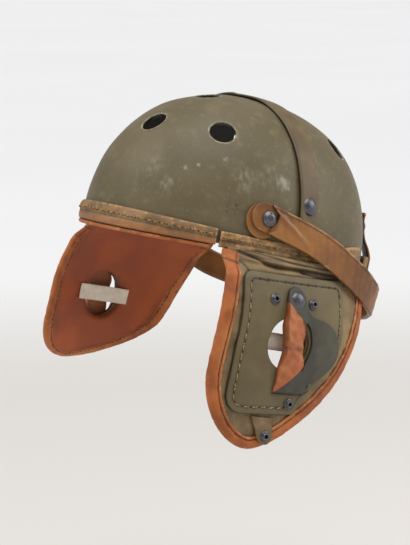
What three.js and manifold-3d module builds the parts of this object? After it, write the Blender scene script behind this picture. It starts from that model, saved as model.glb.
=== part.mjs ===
// A tanker helmet: a hard ventilated shell with a leather crown strap, leather bands round its rim,
// two padded ear flaps that hang below it, a neck guard and a chin strap parked round the back.
// Millimetres. Each piece is drawn with the shell's rim level at Z = 0, the front towards -Y, and the
// whole helmet is then turned about X to the angle at which it is worn.
import * as THREE from 'three';
import { mergeVertices } from 'three/addons/utils/BufferGeometryUtils.js';
import Module from 'manifold-3d';

const wasm = await Module();
wasm.setup();

// Every pair of pieces that meets keeps this gap.
const CLEARANCE = 0.3;
// A curved wall made of flat faces dips inwards by up to this much between its edges.
const FACET_DIP = 0.6;
// Points closer together than this are one point.
const WELD = 1e-3;
// The front of the rim stands this much higher than its back, in degrees.
const WORN_TILT = 15;

// The shell.
const SHELL_WIDTH = 208;
const SHELL_LENGTH = 262;
const SHELL_HEIGHT = 125.5;
const SHELL_WALL = 3;
const PLAN_ROUNDNESS = 2.11;
const PROFILE_ROUNDNESS = 2.27;
const VENT_DIAMETER = 22;
// How much closer together the shell's rows of faces lie towards the rim than at the crown.
const ROW_CROWDING = 1.3;

// The strap over the crown.
const CROWN_STRAP_WIDTH = 20;
const CROWN_STRAP_THICKNESS = 2;
const CROWN_STRAP_ALONG = -6;
const CROWN_STRAP_END = 26;
const CROWN_RIVET_HEIGHT = 42;
const CROWN_RIVET_DIAMETER = 15;
// A strap's rounded edge takes this share of its thickness.
const STRAP_EDGE = 0.45;

// The bands round the rim.
const BAND_THICKNESS = 3;
const BAND_BOTTOM = -1.2;
const BAND_HEIGHT = 11;
const BAND_JOINT_ALONG = -81;
const BAND_JOINT_GAP = 5;
const SIDE_BAND_END = 74;
const SIDE_BAND_REAR_LIFT = 9;
const BROW_BAND_DIP = 2.4;
const LINING_THICKNESS = 1.8;
const LINING_RISE = 14;
const LINING_SHOW = 3.4;
const LINING_SETBACK = 0.8;

// The ear flaps.
const FLAP_LENGTH = 159;
const FLAP_DROP = 157;
const FLAP_STANDOFF = 5;
const FLAP_FLARE = 19;
const FLAP_FLARE_DEPTH = 68;
const FLAP_BOW = 11.5;
const RIGHT_FLAP_SHORTNESS = 0.66;
const RIGHT_FLAP_CURL_RADIUS = 60;
const PANEL_THICKNESS = 2.6;
const FLAP_LINING_THICKNESS = 2.2;
const BINDING_WIDTH = 12;
const BINDING_THICKNESS = 1.4;
const FOLD_WIDTH = 3.4;

// The ear plate and what it carries.
const PLATE_THICKNESS = 2;
const EAR_HOLE = 42;
const EAR_HOLE_ALONG = -24;
const EAR_HOLE_DOWN = 69;
const KEEPER_THICKNESS = 1.8;
const KEEPER_TWIST = 4;
const KEEPER_RIVET_DIAMETER = 14;
const STUD_DIAMETER = 9;
const TAB_WIDTH = 20;
const TAB_LENGTH = 24;
const TAB_THICKNESS = 1.6;
const TAPE_LENGTH = 59;
const TAPE_WIDTH = 14;
const TAPE_THICKNESS = 0.8;

// The chin strap.
const CHIN_STRAP_WIDTH = 26;
const CHIN_STRAP_THICKNESS = 3;
const CHIN_STRAP_SIDE_STANDOFF = 13;
const CHIN_STRAP_BACK_STANDOFF = 16;
const CHIN_STRAP_DROP = 34;
const CHIN_STRAP_LEAN = 5;
const CHIN_RIVET_ALONG = -46;
const CHIN_RIVET_HEIGHT = 26;
const CHIN_RIVET_DIAMETER = 13;
const CHIN_BACKING_DIAMETER = 31;
const CHIN_BACKING_THICKNESS = 2;
const CHIN_BACKING_SHIFT = 4.3;

// The neck guard.
const GUARD_WIDTH = 120;
const GUARD_TOP = 12;
const GUARD_DROP = 67;
const GUARD_CORNER = 18;
const GUARD_STANDOFF = 5;
const GUARD_THICKNESS = 4.5;
const GUARD_EDGE = 1.5;
const GUARD_STRAP_WIDTH = 14;
const GUARD_STRAP_THICKNESS = 2;
const GUARD_STRAP_ACROSS = 46;
const GUARD_STRAP_LENGTH = 54;
const GUARD_STRAP_LAP = 16;
const GUARD_SNAP_UP = 42;
const GUARD_SNAP_DIAMETER = 10;

const HALF_WIDTH = SHELL_WIDTH / 2;
const HALF_LENGTH = SHELL_LENGTH / 2;

// How far the stacked leathers of the flap stand off its outer face.
const PLATE_BACK = CLEARANCE + FACET_DIP;
const PLATE_FACE = PLATE_BACK + PLATE_THICKNESS;
const KEEPER_BACK = PLATE_FACE + CLEARANCE + FACET_DIP;
const KEEPER_FACE = KEEPER_BACK + KEEPER_THICKNESS;
const STUD_BACK = PLATE_FACE + CLEARANCE + 0.5 * FACET_DIP;
const BINDING_FACE = CLEARANCE + 0.5 * FACET_DIP + BINDING_THICKNESS;
const TAB_BACK = BINDING_FACE + CLEARANCE + 0.5 * FACET_DIP;

// Where the vents are, as shares of the shell's half width and half length.
const VENTS = [
  { across: 0, along: -0.775 },
  { across: 0, along: 0.775 },
  { across: 0, along: -0.38 },
  { across: 0, along: 0.38 },
  { across: 0.54, along: -0.565 },
  { across: -0.54, along: -0.565 },
  { across: 0.565, along: 0.41 },
  { across: -0.565, along: 0.41 },
];

// The band's section from its inner bottom corner round: how far out, as a share of its thickness, and
// how far up, as a share of its height.
const BAND_SECTION = [
  { out: 0, up: 0 },
  { out: 0.75, up: 0 },
  { out: 1, up: 0.22 },
  { out: 1, up: 0.55 },
  { out: 0.7, up: 1 },
  { out: 0, up: 1 },
];

// The half sections of a capped rivet and of a snap stud, as shares of its radius.
const CAP_SECTION = [
  { out: 0, up: 0 },
  { out: 1, up: 0 },
  { out: 1, up: 0.12 },
  { out: 0.78, up: 0.3 },
  { out: 0.42, up: 0.42 },
  { out: 0, up: 0.46 },
];
const STUD_SECTION = [
  { out: 0, up: 0 },
  { out: 1, up: 0 },
  { out: 1, up: 0.22 },
  { out: 0.62, up: 0.3 },
  { out: 0.58, up: 0.62 },
  { out: 0.3, up: 0.62 },
  { out: 0, up: 0.24 },
];

// The flap's outline from its front corner round the bottom to its rear corner, as shares of its
// length and its drop.
const FLAP_OUTLINE = [
  { along: -0.494, down: 0.022 },
  { along: -0.53, down: 0.21 },
  { along: -0.556, down: 0.48 },
  { along: -0.552, down: 0.7 },
  { along: -0.488, down: 0.86 },
  { along: -0.391, down: 0.96 },
  { along: -0.277, down: 1 },
  { along: -0.137, down: 0.956 },
  { along: 0.005, down: 0.865 },
  { along: 0.164, down: 0.735 },
  { along: 0.312, down: 0.553 },
  { along: 0.407, down: 0.3 },
  { along: 0.438, down: 0.12 },
  { along: 0.444, down: 0.022 },
];

// The gathers where the flap's leather is drawn in under the side band. Each ridge runs from front to
// rear: its depth there as shares of the flap's drop, and its rise as a share of the fold width.
const GATHERS = [
  { front: 0.026, rear: 0.024, rise: 0.75 },
  { front: 0.06, rear: 0.053, rise: 0.35 },
];

// The gathers die out between these shares of the way from either end of the band.
const GATHER_FADE = { from: 0.07, to: 0.2 };

// The rings of a leather lie this much closer together at its outline than at its hole.
const RING_CROWDING = 1.6;

// The plate's corners as shares of the flap's length and drop, each with its radius as a share of the
// plate's largest corner.
const PLATE_CORNER = 18;
const PLATE_CORNERS = [
  { along: -0.438, down: 0.106, radius: 0.6 },
  { along: 0.228, down: 0.082, radius: 0.6 },
  { along: 0.228, down: 0.47, radius: 0.9 },
  { along: -0.004, down: 0.728, radius: 0.3 },
  { along: -0.026, down: 0.795, radius: 0.3 },
  { along: -0.456, down: 0.825, radius: 1 },
  { along: -0.453, down: 0.5, radius: 1 },
];

// The keeper's outline and its lens-shaped slot, as shares of the ear hole's diameter from its centre.
const KEEPER_OUTLINE = [
  { along: 0.07, down: -1.1 },
  { along: -0.13, down: -1.02 },
  { along: -0.23, down: -0.8 },
  { along: -0.31, down: -0.45 },
  { along: -0.25, down: -0.1 },
  { along: -0.2, down: 0.2 },
  { along: -0.22, down: 0.6 },
  { along: -0.2, down: 0.9 },
  { along: 0.48, down: 0.88 },
  { along: 0.6, down: 0.75 },
  { along: 0.83, down: 0.61 },
  { along: 1.15, down: 0.39 },
  { along: 1.32, down: 0.14 },
  { along: 1.28, down: -0.16 },
  { along: 1.1, down: -0.4 },
  { along: 0.83, down: -0.53 },
  { along: 0.48, down: -0.6 },
  { along: 0.31, down: -0.76 },
  { along: 0.25, down: -0.98 },
];
const KEEPER_SLOT = [
  { along: 0.16, down: -0.42 },
  { along: 0.36, down: -0.3 },
  { along: 0.48, down: -0.02 },
  { along: 0.44, down: 0.25 },
  { along: 0.24, down: 0.44 },
  { along: 0.22, down: 0.2 },
  { along: 0.18, down: -0.1 },
];
const KEEPER_CENTRE = { along: 0.32, down: 0.01 };

// The studs on the plate and the rivet that holds the keeper, as shares of the ear hole's diameter
// from its centre.
const KEEPER_RIVET = { along: 0.06, down: -0.86 };
const STUDS = [
  { name: 'front_stud', along: -0.45, down: -0.81 },
  { name: 'rear_stud', along: 0.5, down: -0.82 },
  { name: 'lower_stud', along: 0.25, down: 1.13 },
];

// The tab under the plate: its middle and its slant as shares of the ear hole's diameter, then shares
// of its own length where it climbs the binding, where its stud sits and where its end starts to
// round, how much narrower it gets, and the width of its tip as a share of its own.
const TAB = {
  along: -0.28, slant: 0.14, climbFrom: 0.1, climbTo: 0.5, stud: 0.68, round: 0.66, taper: 0.25, tip: 0.2,
};

// The chin strap's rounded ends: the steps along the rounding and the width of the tip, as shares.
const CHIN_END_STEPS = [0, 0.06, 0.22, 0.5, 1];
const CHIN_TIP = 0.17;

// The chin strap's route round the near half, from the shell's side to the middle of the back: shares
// of its reach sideways, its reach back and its drop.
const CHIN_ROUTE = [
  { across: 0.93, along: -0.15, down: -0.57 },
  { across: 0.975, along: 0.014, down: -0.38 },
  { across: 1, along: 0.205, down: -0.08 },
  { across: 1, along: 0.388, down: 0.26 },
  { across: 0.945, along: 0.565, down: 0.6 },
  { across: 0.785, along: 0.705, down: 0.77 },
  { across: 0.517, along: 0.868, down: 0.91 },
  { across: 0.26, along: 0.968, down: 0.975 },
  { across: 0, along: 1, down: 1 },
];

// The guard strap's height as a share of its length above its lower end, and how far it stands off
// the shell as a share of the way out to the guard's face.
const GUARD_STRAP_ROWS = [
  { up: 0, out: 1 },
  { up: 0.3, out: 1 },
  { up: 0.42, out: 0.72 },
  { up: 0.55, out: 0.2 },
  { up: 0.68, out: 0 },
  { up: 0.9, out: 0 },
  { up: 1, out: 0.3 },
];

const finishes = {
  shellPaint: { color: 0x766c52, roughness: 0.62, metalness: 0 },
  paintedLeather: { color: 0x7a6a4a, roughness: 0.75, metalness: 0 },
  tanLeather: { color: 0xb5683a, roughness: 0.7, metalness: 0 },
  strapLeather: { color: 0x9a6f42, roughness: 0.65, metalness: 0 },
  keeperLeather: { color: 0x5f625a, roughness: 0.7, metalness: 0 },
  gunmetal: { color: 0x4a4a50, roughness: 0.4, metalness: 0.9 },
  cottonTape: { color: 0xddb9a0, roughness: 0.95, metalness: 0 },
};

const helmet = new THREE.Group();
helmet.rotation.x = -THREE.MathUtils.degToRad(WORN_TILT);

function addPiece(name, geometry, finish) {
  const mesh = new THREE.Mesh(geometry, new THREE.MeshStandardMaterial(finishes[finish]));
  mesh.name = name;
  helmet.add(mesh);
  return mesh;
}

// A signed power, which rounds an ellipse's formula into a fuller one.
function fullness(value, exponent) {
  return Math.sign(value) * Math.abs(value) ** exponent;
}

function smoothStep(edge0, edge1, value) {
  return THREE.MathUtils.smoothstep(value, edge0, edge1);
}

// The shell's plan, shrunk by this factor at a height above the rim.
function planShare(height, offset) {
  if (height <= 0) return 1;
  const rise = Math.min(height / (SHELL_HEIGHT + offset), 1);
  return (1 - rise ** PROFILE_ROUNDNESS) ** (1 / PROFILE_ROUNDNESS);
}

// A point on the shell's side at a plan angle and a height, moved out by an offset. The angle is
// measured from the wearer's left towards the back.
function wallPoint(angle, height, offset) {
  const share = planShare(height, offset);
  return new THREE.Vector3(
    (HALF_WIDTH + offset) * share * fullness(Math.cos(angle), 2 / PLAN_ROUNDNESS),
    (HALF_LENGTH + offset) * share * fullness(Math.sin(angle), 2 / PLAN_ROUNDNESS),
    height,
  );
}

// The plan angle at which the rim reaches a place along the helmet, on the wearer's left.
function angleAlong(along, share = 1) {
  return Math.asin(fullness(along / (HALF_LENGTH * share), PLAN_ROUNDNESS / 2));
}

// The plan angle at which the rim reaches a place across the helmet, at the back.
function angleAcross(across, share = 1) {
  return Math.acos(fullness(across / (HALF_WIDTH * share), PLAN_ROUNDNESS / 2));
}

// The dome's height above a point of the plan.
function domeHeight(across, along, offset) {
  const plan = Math.abs(across / (HALF_WIDTH + offset)) ** PLAN_ROUNDNESS
    + Math.abs(along / (HALF_LENGTH + offset)) ** PLAN_ROUNDNESS;
  const share = plan ** (PROFILE_ROUNDNESS / PLAN_ROUNDNESS);
  return (SHELL_HEIGHT + offset) * Math.max(1 - share, 0) ** (1 / PROFILE_ROUNDNESS);
}

// The dome's outward normal at a point of its surface.
function domeNormal(point) {
  const plan = (value, half) => fullness(value / half, PLAN_ROUNDNESS - 1) / half;
  const share = Math.abs(point.x / HALF_WIDTH) ** PLAN_ROUNDNESS
    + Math.abs(point.y / HALF_LENGTH) ** PLAN_ROUNDNESS;
  const weight = share ** (PROFILE_ROUNDNESS / PLAN_ROUNDNESS - 1);
  return new THREE.Vector3(
    plan(point.x, HALF_WIDTH) * weight,
    plan(point.y, HALF_LENGTH) * weight,
    fullness(Math.max(point.z, 0) / SHELL_HEIGHT, PROFILE_ROUNDNESS - 1) / SHELL_HEIGHT,
  ).normalize();
}

// The triangles that close one ring of points.
function capFaces(ring, first) {
  const normal = new THREE.Vector3();
  ring.forEach((point, index) => {
    normal.add(new THREE.Vector3().crossVectors(point, ring[(index + 1) % ring.length]));
  });
  const side = new THREE.Vector3().subVectors(ring[1], ring[0]).normalize();
  const up = new THREE.Vector3().crossVectors(normal.normalize(), side);
  const flat = ring.map((point) => new THREE.Vector2(point.dot(side), point.dot(up)));
  return THREE.ShapeUtils.triangulateShape(flat, []).map((face) => face.map((index) => index + first));
}

// A closed body through a row of rings, each a list of points in the same order. Its ends are closed,
// or its last ring joins its first. Points that coincide become one.
function loft(rings, joined = false) {
  const size = rings[0].length;
  const faces = [];
  for (let row = 0; row < rings.length - (joined ? 0 : 1); row += 1) {
    const next = (row + 1) % rings.length;
    for (let step = 0; step < size; step += 1) {
      const after = (step + 1) % size;
      faces.push([row * size + step, row * size + after, next * size + after]);
      faces.push([row * size + step, next * size + after, next * size + step]);
    }
  }
  if (!joined) {
    capFaces(rings[0], 0).forEach((face) => faces.push([face[0], face[2], face[1]]));
    capFaces(rings.at(-1), (rings.length - 1) * size).forEach((face) => faces.push(face));
  }
  const points = rings.flat();
  const raw = new THREE.BufferGeometry();
  raw.setAttribute('position', new THREE.Float32BufferAttribute(points.flatMap((p) => p.toArray()), 3));
  raw.setIndex(faces.flat());
  return facedOut(mergeVertices(raw, WELD));
}

// The same body without its collapsed triangles, its faces turned to point out.
function facedOut(geometry) {
  const position = geometry.attributes.position;
  const index = geometry.index.array;
  const corner = [new THREE.Vector3(), new THREE.Vector3(), new THREE.Vector3()];
  const kept = [];
  let volume = 0;
  for (let at = 0; at < index.length; at += 3) {
    const face = [index[at], index[at + 1], index[at + 2]];
    if (new Set(face).size === 3) {
      face.forEach((vertex, place) => corner[place].fromBufferAttribute(position, vertex));
      volume += corner[0].dot(corner[1].clone().cross(corner[2]));
      kept.push(face);
    }
  }
  geometry.setIndex(kept.flatMap((face) => (volume > 0 ? face : [face[0], face[2], face[1]])));
  return geometry;
}

function toSolid(geometry) {
  const bare = geometry.clone();
  bare.deleteAttribute('normal');
  bare.deleteAttribute('uv');
  const merged = mergeVertices(bare, WELD);
  return new wasm.Manifold(new wasm.Mesh({
    numProp: 3,
    vertProperties: new Float32Array(merged.attributes.position.array),
    triVerts: new Uint32Array(merged.index.array),
  }));
}

function fromSolid(solid) {
  const mesh = solid.getMesh();
  const geometry = new THREE.BufferGeometry();
  geometry.setAttribute('position', new THREE.Float32BufferAttribute(mesh.vertProperties, 3));
  geometry.setIndex([...mesh.triVerts]);
  return geometry;
}

// Points at even steps along a line of points, which closes on itself or has two ends.
function evenly(points, count, closed) {
  const line = closed ? [...points, points[0]] : points;
  const reach = [0];
  for (let at = 1; at < line.length; at += 1) reach.push(reach[at - 1] + line[at].distanceTo(line[at - 1]));
  const steps = closed ? count : count - 1;
  return Array.from({ length: count }, (_, step) => {
    const wanted = (reach.at(-1) * step) / steps;
    const at = Math.max(1, reach.findIndex((value) => value >= wanted - WELD));
    const share = (wanted - reach[at - 1]) / (reach[at] - reach[at - 1]);
    return line[at - 1].clone().lerp(line[at], share);
  });
}

// A round-headed rivet, snap or washer: a body turned about Y from its half section, whose rows are
// shares of its radius and of its height.
function turned(section, radius, height, sides) {
  const half = section.map((row) => new THREE.Vector2(row.out * radius, row.up * height));
  const bare = new THREE.LatheGeometry(half, sides);
  bare.deleteAttribute('normal');
  bare.deleteAttribute('uv');
  return facedOut(mergeVertices(bare, WELD));
}

function capRivet(diameter) {
  return turned(CAP_SECTION, diameter / 2, diameter / 2, 10);
}

function snapStud(diameter) {
  return turned(STUD_SECTION, diameter / 2, diameter / 2, 8);
}

// Seats a turned body on a surface, its axis along the surface's normal.
function seat(mesh, point, normal) {
  mesh.position.copy(point);
  mesh.quaternion.setFromUnitVectors(new THREE.Vector3(0, 1, 0), normal);
}

// The shell: a hollow dome pierced by its vents.
function makeShell() {
  const sides = 38;
  const outerRows = 9;
  const innerRows = 6;
  const profile = (offset, rows, angle) => Array.from({ length: rows + 1 }, (_, row) => {
    const rise = (row / rows) ** ROW_CROWDING * (Math.PI / 2);
    const height = (SHELL_HEIGHT + offset) * fullness(Math.sin(rise), 2 / PROFILE_ROUNDNESS);
    const point = wallPoint(angle, height, offset);
    return row === rows ? new THREE.Vector3(0, 0, height) : point;
  });
  const sections = Array.from({ length: sides }, (_, side) => {
    const angle = (side / sides) * Math.PI * 2;
    return [...profile(0, outerRows, angle), ...profile(-SHELL_WALL, innerRows, angle).reverse()];
  });
  let shell = toSolid(loft(sections, true));
  VENTS.forEach((vent) => {
    const across = vent.across * HALF_WIDTH;
    const along = vent.along * HALF_LENGTH;
    const centre = new THREE.Vector3(across, along, domeHeight(across, along, 0));
    const drill = new THREE.CylinderGeometry(VENT_DIAMETER / 2, VENT_DIAMETER / 2, VENT_DIAMETER, 14);
    const turn = new THREE.Quaternion().setFromUnitVectors(new THREE.Vector3(0, 1, 0), domeNormal(centre));
    drill.applyQuaternion(turn).translate(centre.x, centre.y, centre.z);
    shell = shell.subtract(toSolid(drill));
  });
  addPiece('shell', fromSolid(shell), 'shellPaint');
}

// The strap that runs over the crown from side to side, and the rivet at each end of it.
function makeCrownStrap() {
  const stations = 22;
  const inner = CLEARANCE;
  const outer = CLEARANCE + CROWN_STRAP_THICKNESS;
  const half = CROWN_STRAP_WIDTH / 2;
  const edge = STRAP_EDGE * CROWN_STRAP_THICKNESS;
  const section = [[-half, inner], [0, inner], [half, inner], [half, outer - edge], [half - edge, outer],
    [edge - half, outer], [-half, outer - edge]];
  // A point of the strap: how far round the crown it is, its place across the strap and off the shell.
  const strapPoint = (round, width, offset) => {
    const along = CROWN_STRAP_ALONG + width;
    const top = domeHeight(0, along, offset);
    const height = top * fullness(Math.sin(round), 2 / PROFILE_ROUNDNESS);
    const share = planShare(height, offset) ** PLAN_ROUNDNESS
      - Math.abs(along / (HALF_LENGTH + offset)) ** PLAN_ROUNDNESS;
    const reach = (HALF_WIDTH + offset) * Math.max(share, 0) ** (1 / PLAN_ROUNDNESS);
    return new THREE.Vector3(Math.sign(Math.cos(round)) * reach, along, height);
  };
  const first = Math.asin((CROWN_STRAP_END / SHELL_HEIGHT) ** (PROFILE_ROUNDNESS / 2));
  const sections = Array.from({ length: stations }, (_, station) => {
    const round = first + ((Math.PI - 2 * first) * station) / (stations - 1);
    return section.map(([width, offset]) => strapPoint(round, width, offset));
  });
  addPiece('crown_strap', loft(sections), 'paintedLeather');
  const round = Math.asin((CROWN_RIVET_HEIGHT / SHELL_HEIGHT) ** (PROFILE_ROUNDNESS / 2));
  [['left', 1], ['right', -1]].forEach(([side, sign]) => {
    const centre = strapPoint(round, 0, outer + CLEARANCE);
    const normal = domeNormal(centre);
    centre.x *= sign;
    normal.x *= sign;
    seat(addPiece(`crown_rivet_${side}`, capRivet(CROWN_RIVET_DIAMETER), 'gunmetal'), centre, normal);
  });
}

// A folded leather band round part of the rim. Its top and bottom may change along it.
function makeBand(name, from, to, stations, topAt, bottomAt) {
  const sections = Array.from({ length: stations }, (_, station) => {
    const angle = from + ((to - from) * station) / (stations - 1);
    const bottom = bottomAt(angle);
    const height = topAt(angle) - bottom;
    return BAND_SECTION.map((row) => (
      wallPoint(angle, bottom + height * row.up, CLEARANCE + BAND_THICKNESS * row.out)
    ));
  });
  addPiece(name, loft(sections), 'paintedLeather');
}

// How far round to the front a place on the rim is, from none at the joint to all at the middle.
function browShare(angle) {
  return Math.max(-Math.sin(angle), 0) ** 2;
}

function browBottom(angle) {
  return BAND_BOTTOM - BROW_BAND_DIP * browShare(angle);
}

function makeBrowBand() {
  const joint = angleAlong(BAND_JOINT_ALONG);
  const end = joint - BAND_JOINT_GAP / 2 / HALF_WIDTH;
  const topAt = (angle) => BAND_BOTTOM + BAND_HEIGHT + 0.5 * BROW_BAND_DIP * browShare(angle);
  makeBand('brow_band', end, -Math.PI - end, 30, topAt, browBottom);
}

// The tan lining that is turned round the front of the rim and shows below the brow band.
function makeBrowLining() {
  const joint = angleAlong(BAND_JOINT_ALONG - BAND_JOINT_GAP);
  const stations = 26;
  const back = -SHELL_WALL - CLEARANCE - FACET_DIP;
  const sections = Array.from({ length: stations }, (_, station) => {
    const angle = joint + ((-Math.PI - 2 * joint) * station) / (stations - 1);
    const under = browBottom(angle) - CLEARANCE;
    const low = under - LINING_SHOW;
    const face = BAND_THICKNESS - LINING_SETBACK;
    const corners = [[back - LINING_THICKNESS, LINING_RISE], [back, LINING_RISE], [back, -CLEARANCE],
      [0, -CLEARANCE], [0, under], [face, under], [face, low], [back - LINING_THICKNESS, low]];
    return corners.map(([offset, height]) => wallPoint(angle, height, offset));
  });
  addPiece('brow_lining', loft(sections), 'tanLeather');
}

// The band over the ear flap, which rises towards the back.
function makeSideBand(side, sign) {
  const joint = angleAlong(BAND_JOINT_ALONG);
  const start = joint + BAND_JOINT_GAP / 2 / HALF_WIDTH;
  const end = angleAlong(SIDE_BAND_END);
  const topAt = (angle) => BAND_BOTTOM + BAND_HEIGHT + SIDE_BAND_REAR_LIFT * smoothStep(0, end, angle);
  const [from, to] = sign > 0 ? [start, end] : [Math.PI - start, Math.PI - end];
  const near = (angle) => (sign > 0 ? angle : Math.PI - angle);
  makeBand(`side_band_${side}`, from, to, 22, (angle) => topAt(near(angle)), () => BAND_BOTTOM);
}

// How far out the flap's outer face lies at a place on it, before its gathers.
function flapFace(along, height) {
  const depth = THREE.MathUtils.clamp(-height / FLAP_FLARE_DEPTH, 0, 1);
  const flare = FLAP_FLARE * Math.sin((depth * Math.PI) / 2);
  return HALF_WIDTH + FLAP_STANDOFF + flare - FLAP_BOW * (along / (FLAP_LENGTH / 2)) ** 2;
}

// A point on a flap, moved out from its face by an offset. The right flap is shorter below its ear
// hole, and its lower end curls outwards there.
function flapPoint(place, offset, sign) {
  const level = -EAR_HOLE_DOWN - EAR_HOLE / 2;
  if (sign > 0 || place.y >= level) {
    return new THREE.Vector3(sign * (flapFace(place.x, place.y) + offset), place.x, place.y);
  }
  const below = (level - place.y) * RIGHT_FLAP_SHORTNESS;
  const turn = below / RIGHT_FLAP_CURL_RADIUS;
  const outward = RIGHT_FLAP_CURL_RADIUS * (1 - Math.cos(turn)) + offset * Math.cos(turn);
  return new THREE.Vector3(
    sign * (flapFace(place.x, level - below) + outward),
    place.x,
    level - RIGHT_FLAP_CURL_RADIUS * Math.sin(turn) + offset * Math.sin(turn),
  );
}

function flapNormal(place, sign) {
  const near = (x, y) => flapPoint(new THREE.Vector2(place.x + x, place.y + y), 0, sign);
  const along = near(1, 0).sub(near(-1, 0));
  const upward = near(0, 1).sub(near(0, -1));
  return along.cross(upward).multiplyScalar(sign).normalize();
}

// A place on the flap, x along the helmet and y its height, from a table's row.
function flapPlace(row) {
  return new THREE.Vector2(row.along * FLAP_LENGTH, -row.down * FLAP_DROP);
}

function earPlace(row) {
  return new THREE.Vector2(EAR_HOLE_ALONG + row.along * EAR_HOLE, -EAR_HOLE_DOWN - row.down * EAR_HOLE);
}

// How far the gathered leather rises at a place on the flap.
function gatherRise(place) {
  const front = FLAP_OUTLINE[0].along * FLAP_LENGTH + BINDING_WIDTH;
  const rear = FLAP_OUTLINE.at(-1).along * FLAP_LENGTH - BINDING_WIDTH;
  const share = (place.x - front) / (rear - front);
  const fadeIn = smoothStep(GATHER_FADE.from, GATHER_FADE.to, share);
  const fade = fadeIn * smoothStep(GATHER_FADE.from, GATHER_FADE.to, 1 - share);
  return GATHERS.reduce((rise, ridge) => {
    const height = -FLAP_DROP * THREE.MathUtils.lerp(ridge.front, ridge.rear, share);
    const away = (place.y - height) / (FOLD_WIDTH / 2);
    return rise + fade * ridge.rise * FOLD_WIDTH * Math.exp(-away * away);
  }, 0);
}

// The flap's edge as a smooth line, front corner to rear corner.
function flapEdge(count) {
  const corners = FLAP_OUTLINE.map((row) => new THREE.Vector3(...flapPlace(row).toArray(), 0));
  const curve = new THREE.CatmullRomCurve3(corners, false, 'centripetal');
  return curve.getSpacedPoints(count - 1).map((point) => new THREE.Vector2(point.x, point.y));
}

// The inward direction at each point of the flap's edge.
function inwardAt(edge, index) {
  const before = edge[Math.max(index - 1, 0)];
  const after = edge[Math.min(index + 1, edge.length - 1)];
  const run = after.clone().sub(before).normalize();
  return new THREE.Vector2(-run.y, run.x);
}

// The outline of the flap's leathers: its edge moved in to clear the binding, closed along the top.
function leatherOutline(count) {
  const inset = BINDING_THICKNESS + CLEARANCE + FACET_DIP;
  const edge = flapEdge(60);
  const line = edge.map((point, index) => point.clone().addScaledVector(inwardAt(edge, index), inset));
  const top = BAND_BOTTOM - CLEARANCE;
  line.unshift(new THREE.Vector2(line[0].x, top));
  line.push(new THREE.Vector2(line.at(-1).x, top));
  return evenly(line, count, true);
}

// A sheet that lies on the flap, from a hole in it out to its outline. The rings are closer together
// near the outline. Both faces may follow a rise of their own.
function flapSheet(outline, hole, centre, steps, outerAt, innerAt, sign) {
  const sections = outline.map((edgePlace) => {
    const direction = edgePlace.clone().sub(centre);
    const rim = hole(Math.atan2(direction.y, direction.x), edgePlace);
    const places = Array.from({ length: steps + 1 }, (_, step) => {
      const share = 1 - (1 - step / steps) ** RING_CROWDING;
      return rim.clone().lerp(edgePlace, share);
    });
    const outer = places.map((place) => flapPoint(place, outerAt(place), sign));
    const inner = places.map((place) => flapPoint(place, innerAt(place), sign));
    return [...outer, ...inner.reverse()];
  });
  return loft(sections, true);
}

// The round ear hole's edge in a direction from its centre.
function earHoleEdge(centre) {
  return (angle) => new THREE.Vector2(
    centre.x + (EAR_HOLE / 2) * Math.cos(angle),
    centre.y + (EAR_HOLE / 2) * Math.sin(angle),
  );
}

function makeFlapLeathers(side, sign) {
  const centre = earPlace({ along: 0, down: 0 });
  const hole = earHoleEdge(centre);
  const outline = leatherOutline(30);
  const rings = 5;
  const back = -PANEL_THICKNESS - CLEARANCE;
  const panel = flapSheet(outline, hole, centre, rings, gatherRise, () => -PANEL_THICKNESS, sign);
  addPiece(`flap_${side}`, panel, 'paintedLeather');
  const liningBack = back - FLAP_LINING_THICKNESS;
  // The lining's two faces are given the other way round, so that its faces run as the panel's do.
  const lining = flapSheet(outline, hole, centre, rings, () => liningBack, () => back, sign);
  addPiece(`flap_lining_${side}`, lining, 'tanLeather');
}

// The leather that is folded round the flap's edge and sewn through both of its leathers.
function makeBinding(side, sign) {
  const edge = flapEdge(34);
  const face = BINDING_FACE - BINDING_THICKNESS;
  const back = -PANEL_THICKNESS - FLAP_LINING_THICKNESS - 2 * CLEARANCE - 0.5 * FACET_DIP;
  const wall = BINDING_THICKNESS;
  const section = [[BINDING_WIDTH, face], [BINDING_WIDTH, face + wall], [wall, face + wall], [0, face],
    [0, back], [wall, back - wall], [BINDING_WIDTH, back - wall], [BINDING_WIDTH, back],
    [wall, back], [wall, face]];
  const sections = edge.map((point, index) => {
    const inward = inwardAt(edge, index);
    return section.map(([width, offset]) => (
      flapPoint(point.clone().addScaledVector(inward, width), offset, sign)
    ));
  });
  addPiece(`flap_binding_${side}`, loft(sections), 'tanLeather');
}

// The plate's outline, each corner rounded.
function plateOutline(count) {
  const corners = PLATE_CORNERS.map((row) => ({ place: flapPlace(row), radius: row.radius * PLATE_CORNER }));
  const line = corners.flatMap(({ place, radius }, index) => {
    const before = corners.at(index - 1).place;
    const after = corners[(index + 1) % corners.length].place;
    const start = place.clone().add(before.clone().sub(place).setLength(radius));
    const end = place.clone().add(after.clone().sub(place).setLength(radius));
    return new THREE.QuadraticBezierCurve(start, place, end).getPoints(4);
  });
  return evenly(line, count, true);
}

function makePlate(side, sign) {
  const centre = earPlace({ along: 0, down: 0 });
  const outer = () => PLATE_FACE;
  const inner = () => PLATE_BACK;
  const plate = flapSheet(plateOutline(28), earHoleEdge(centre), centre, 3, outer, inner, sign);
  addPiece(`ear_plate_${side}`, plate, 'paintedLeather');
}

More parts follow.
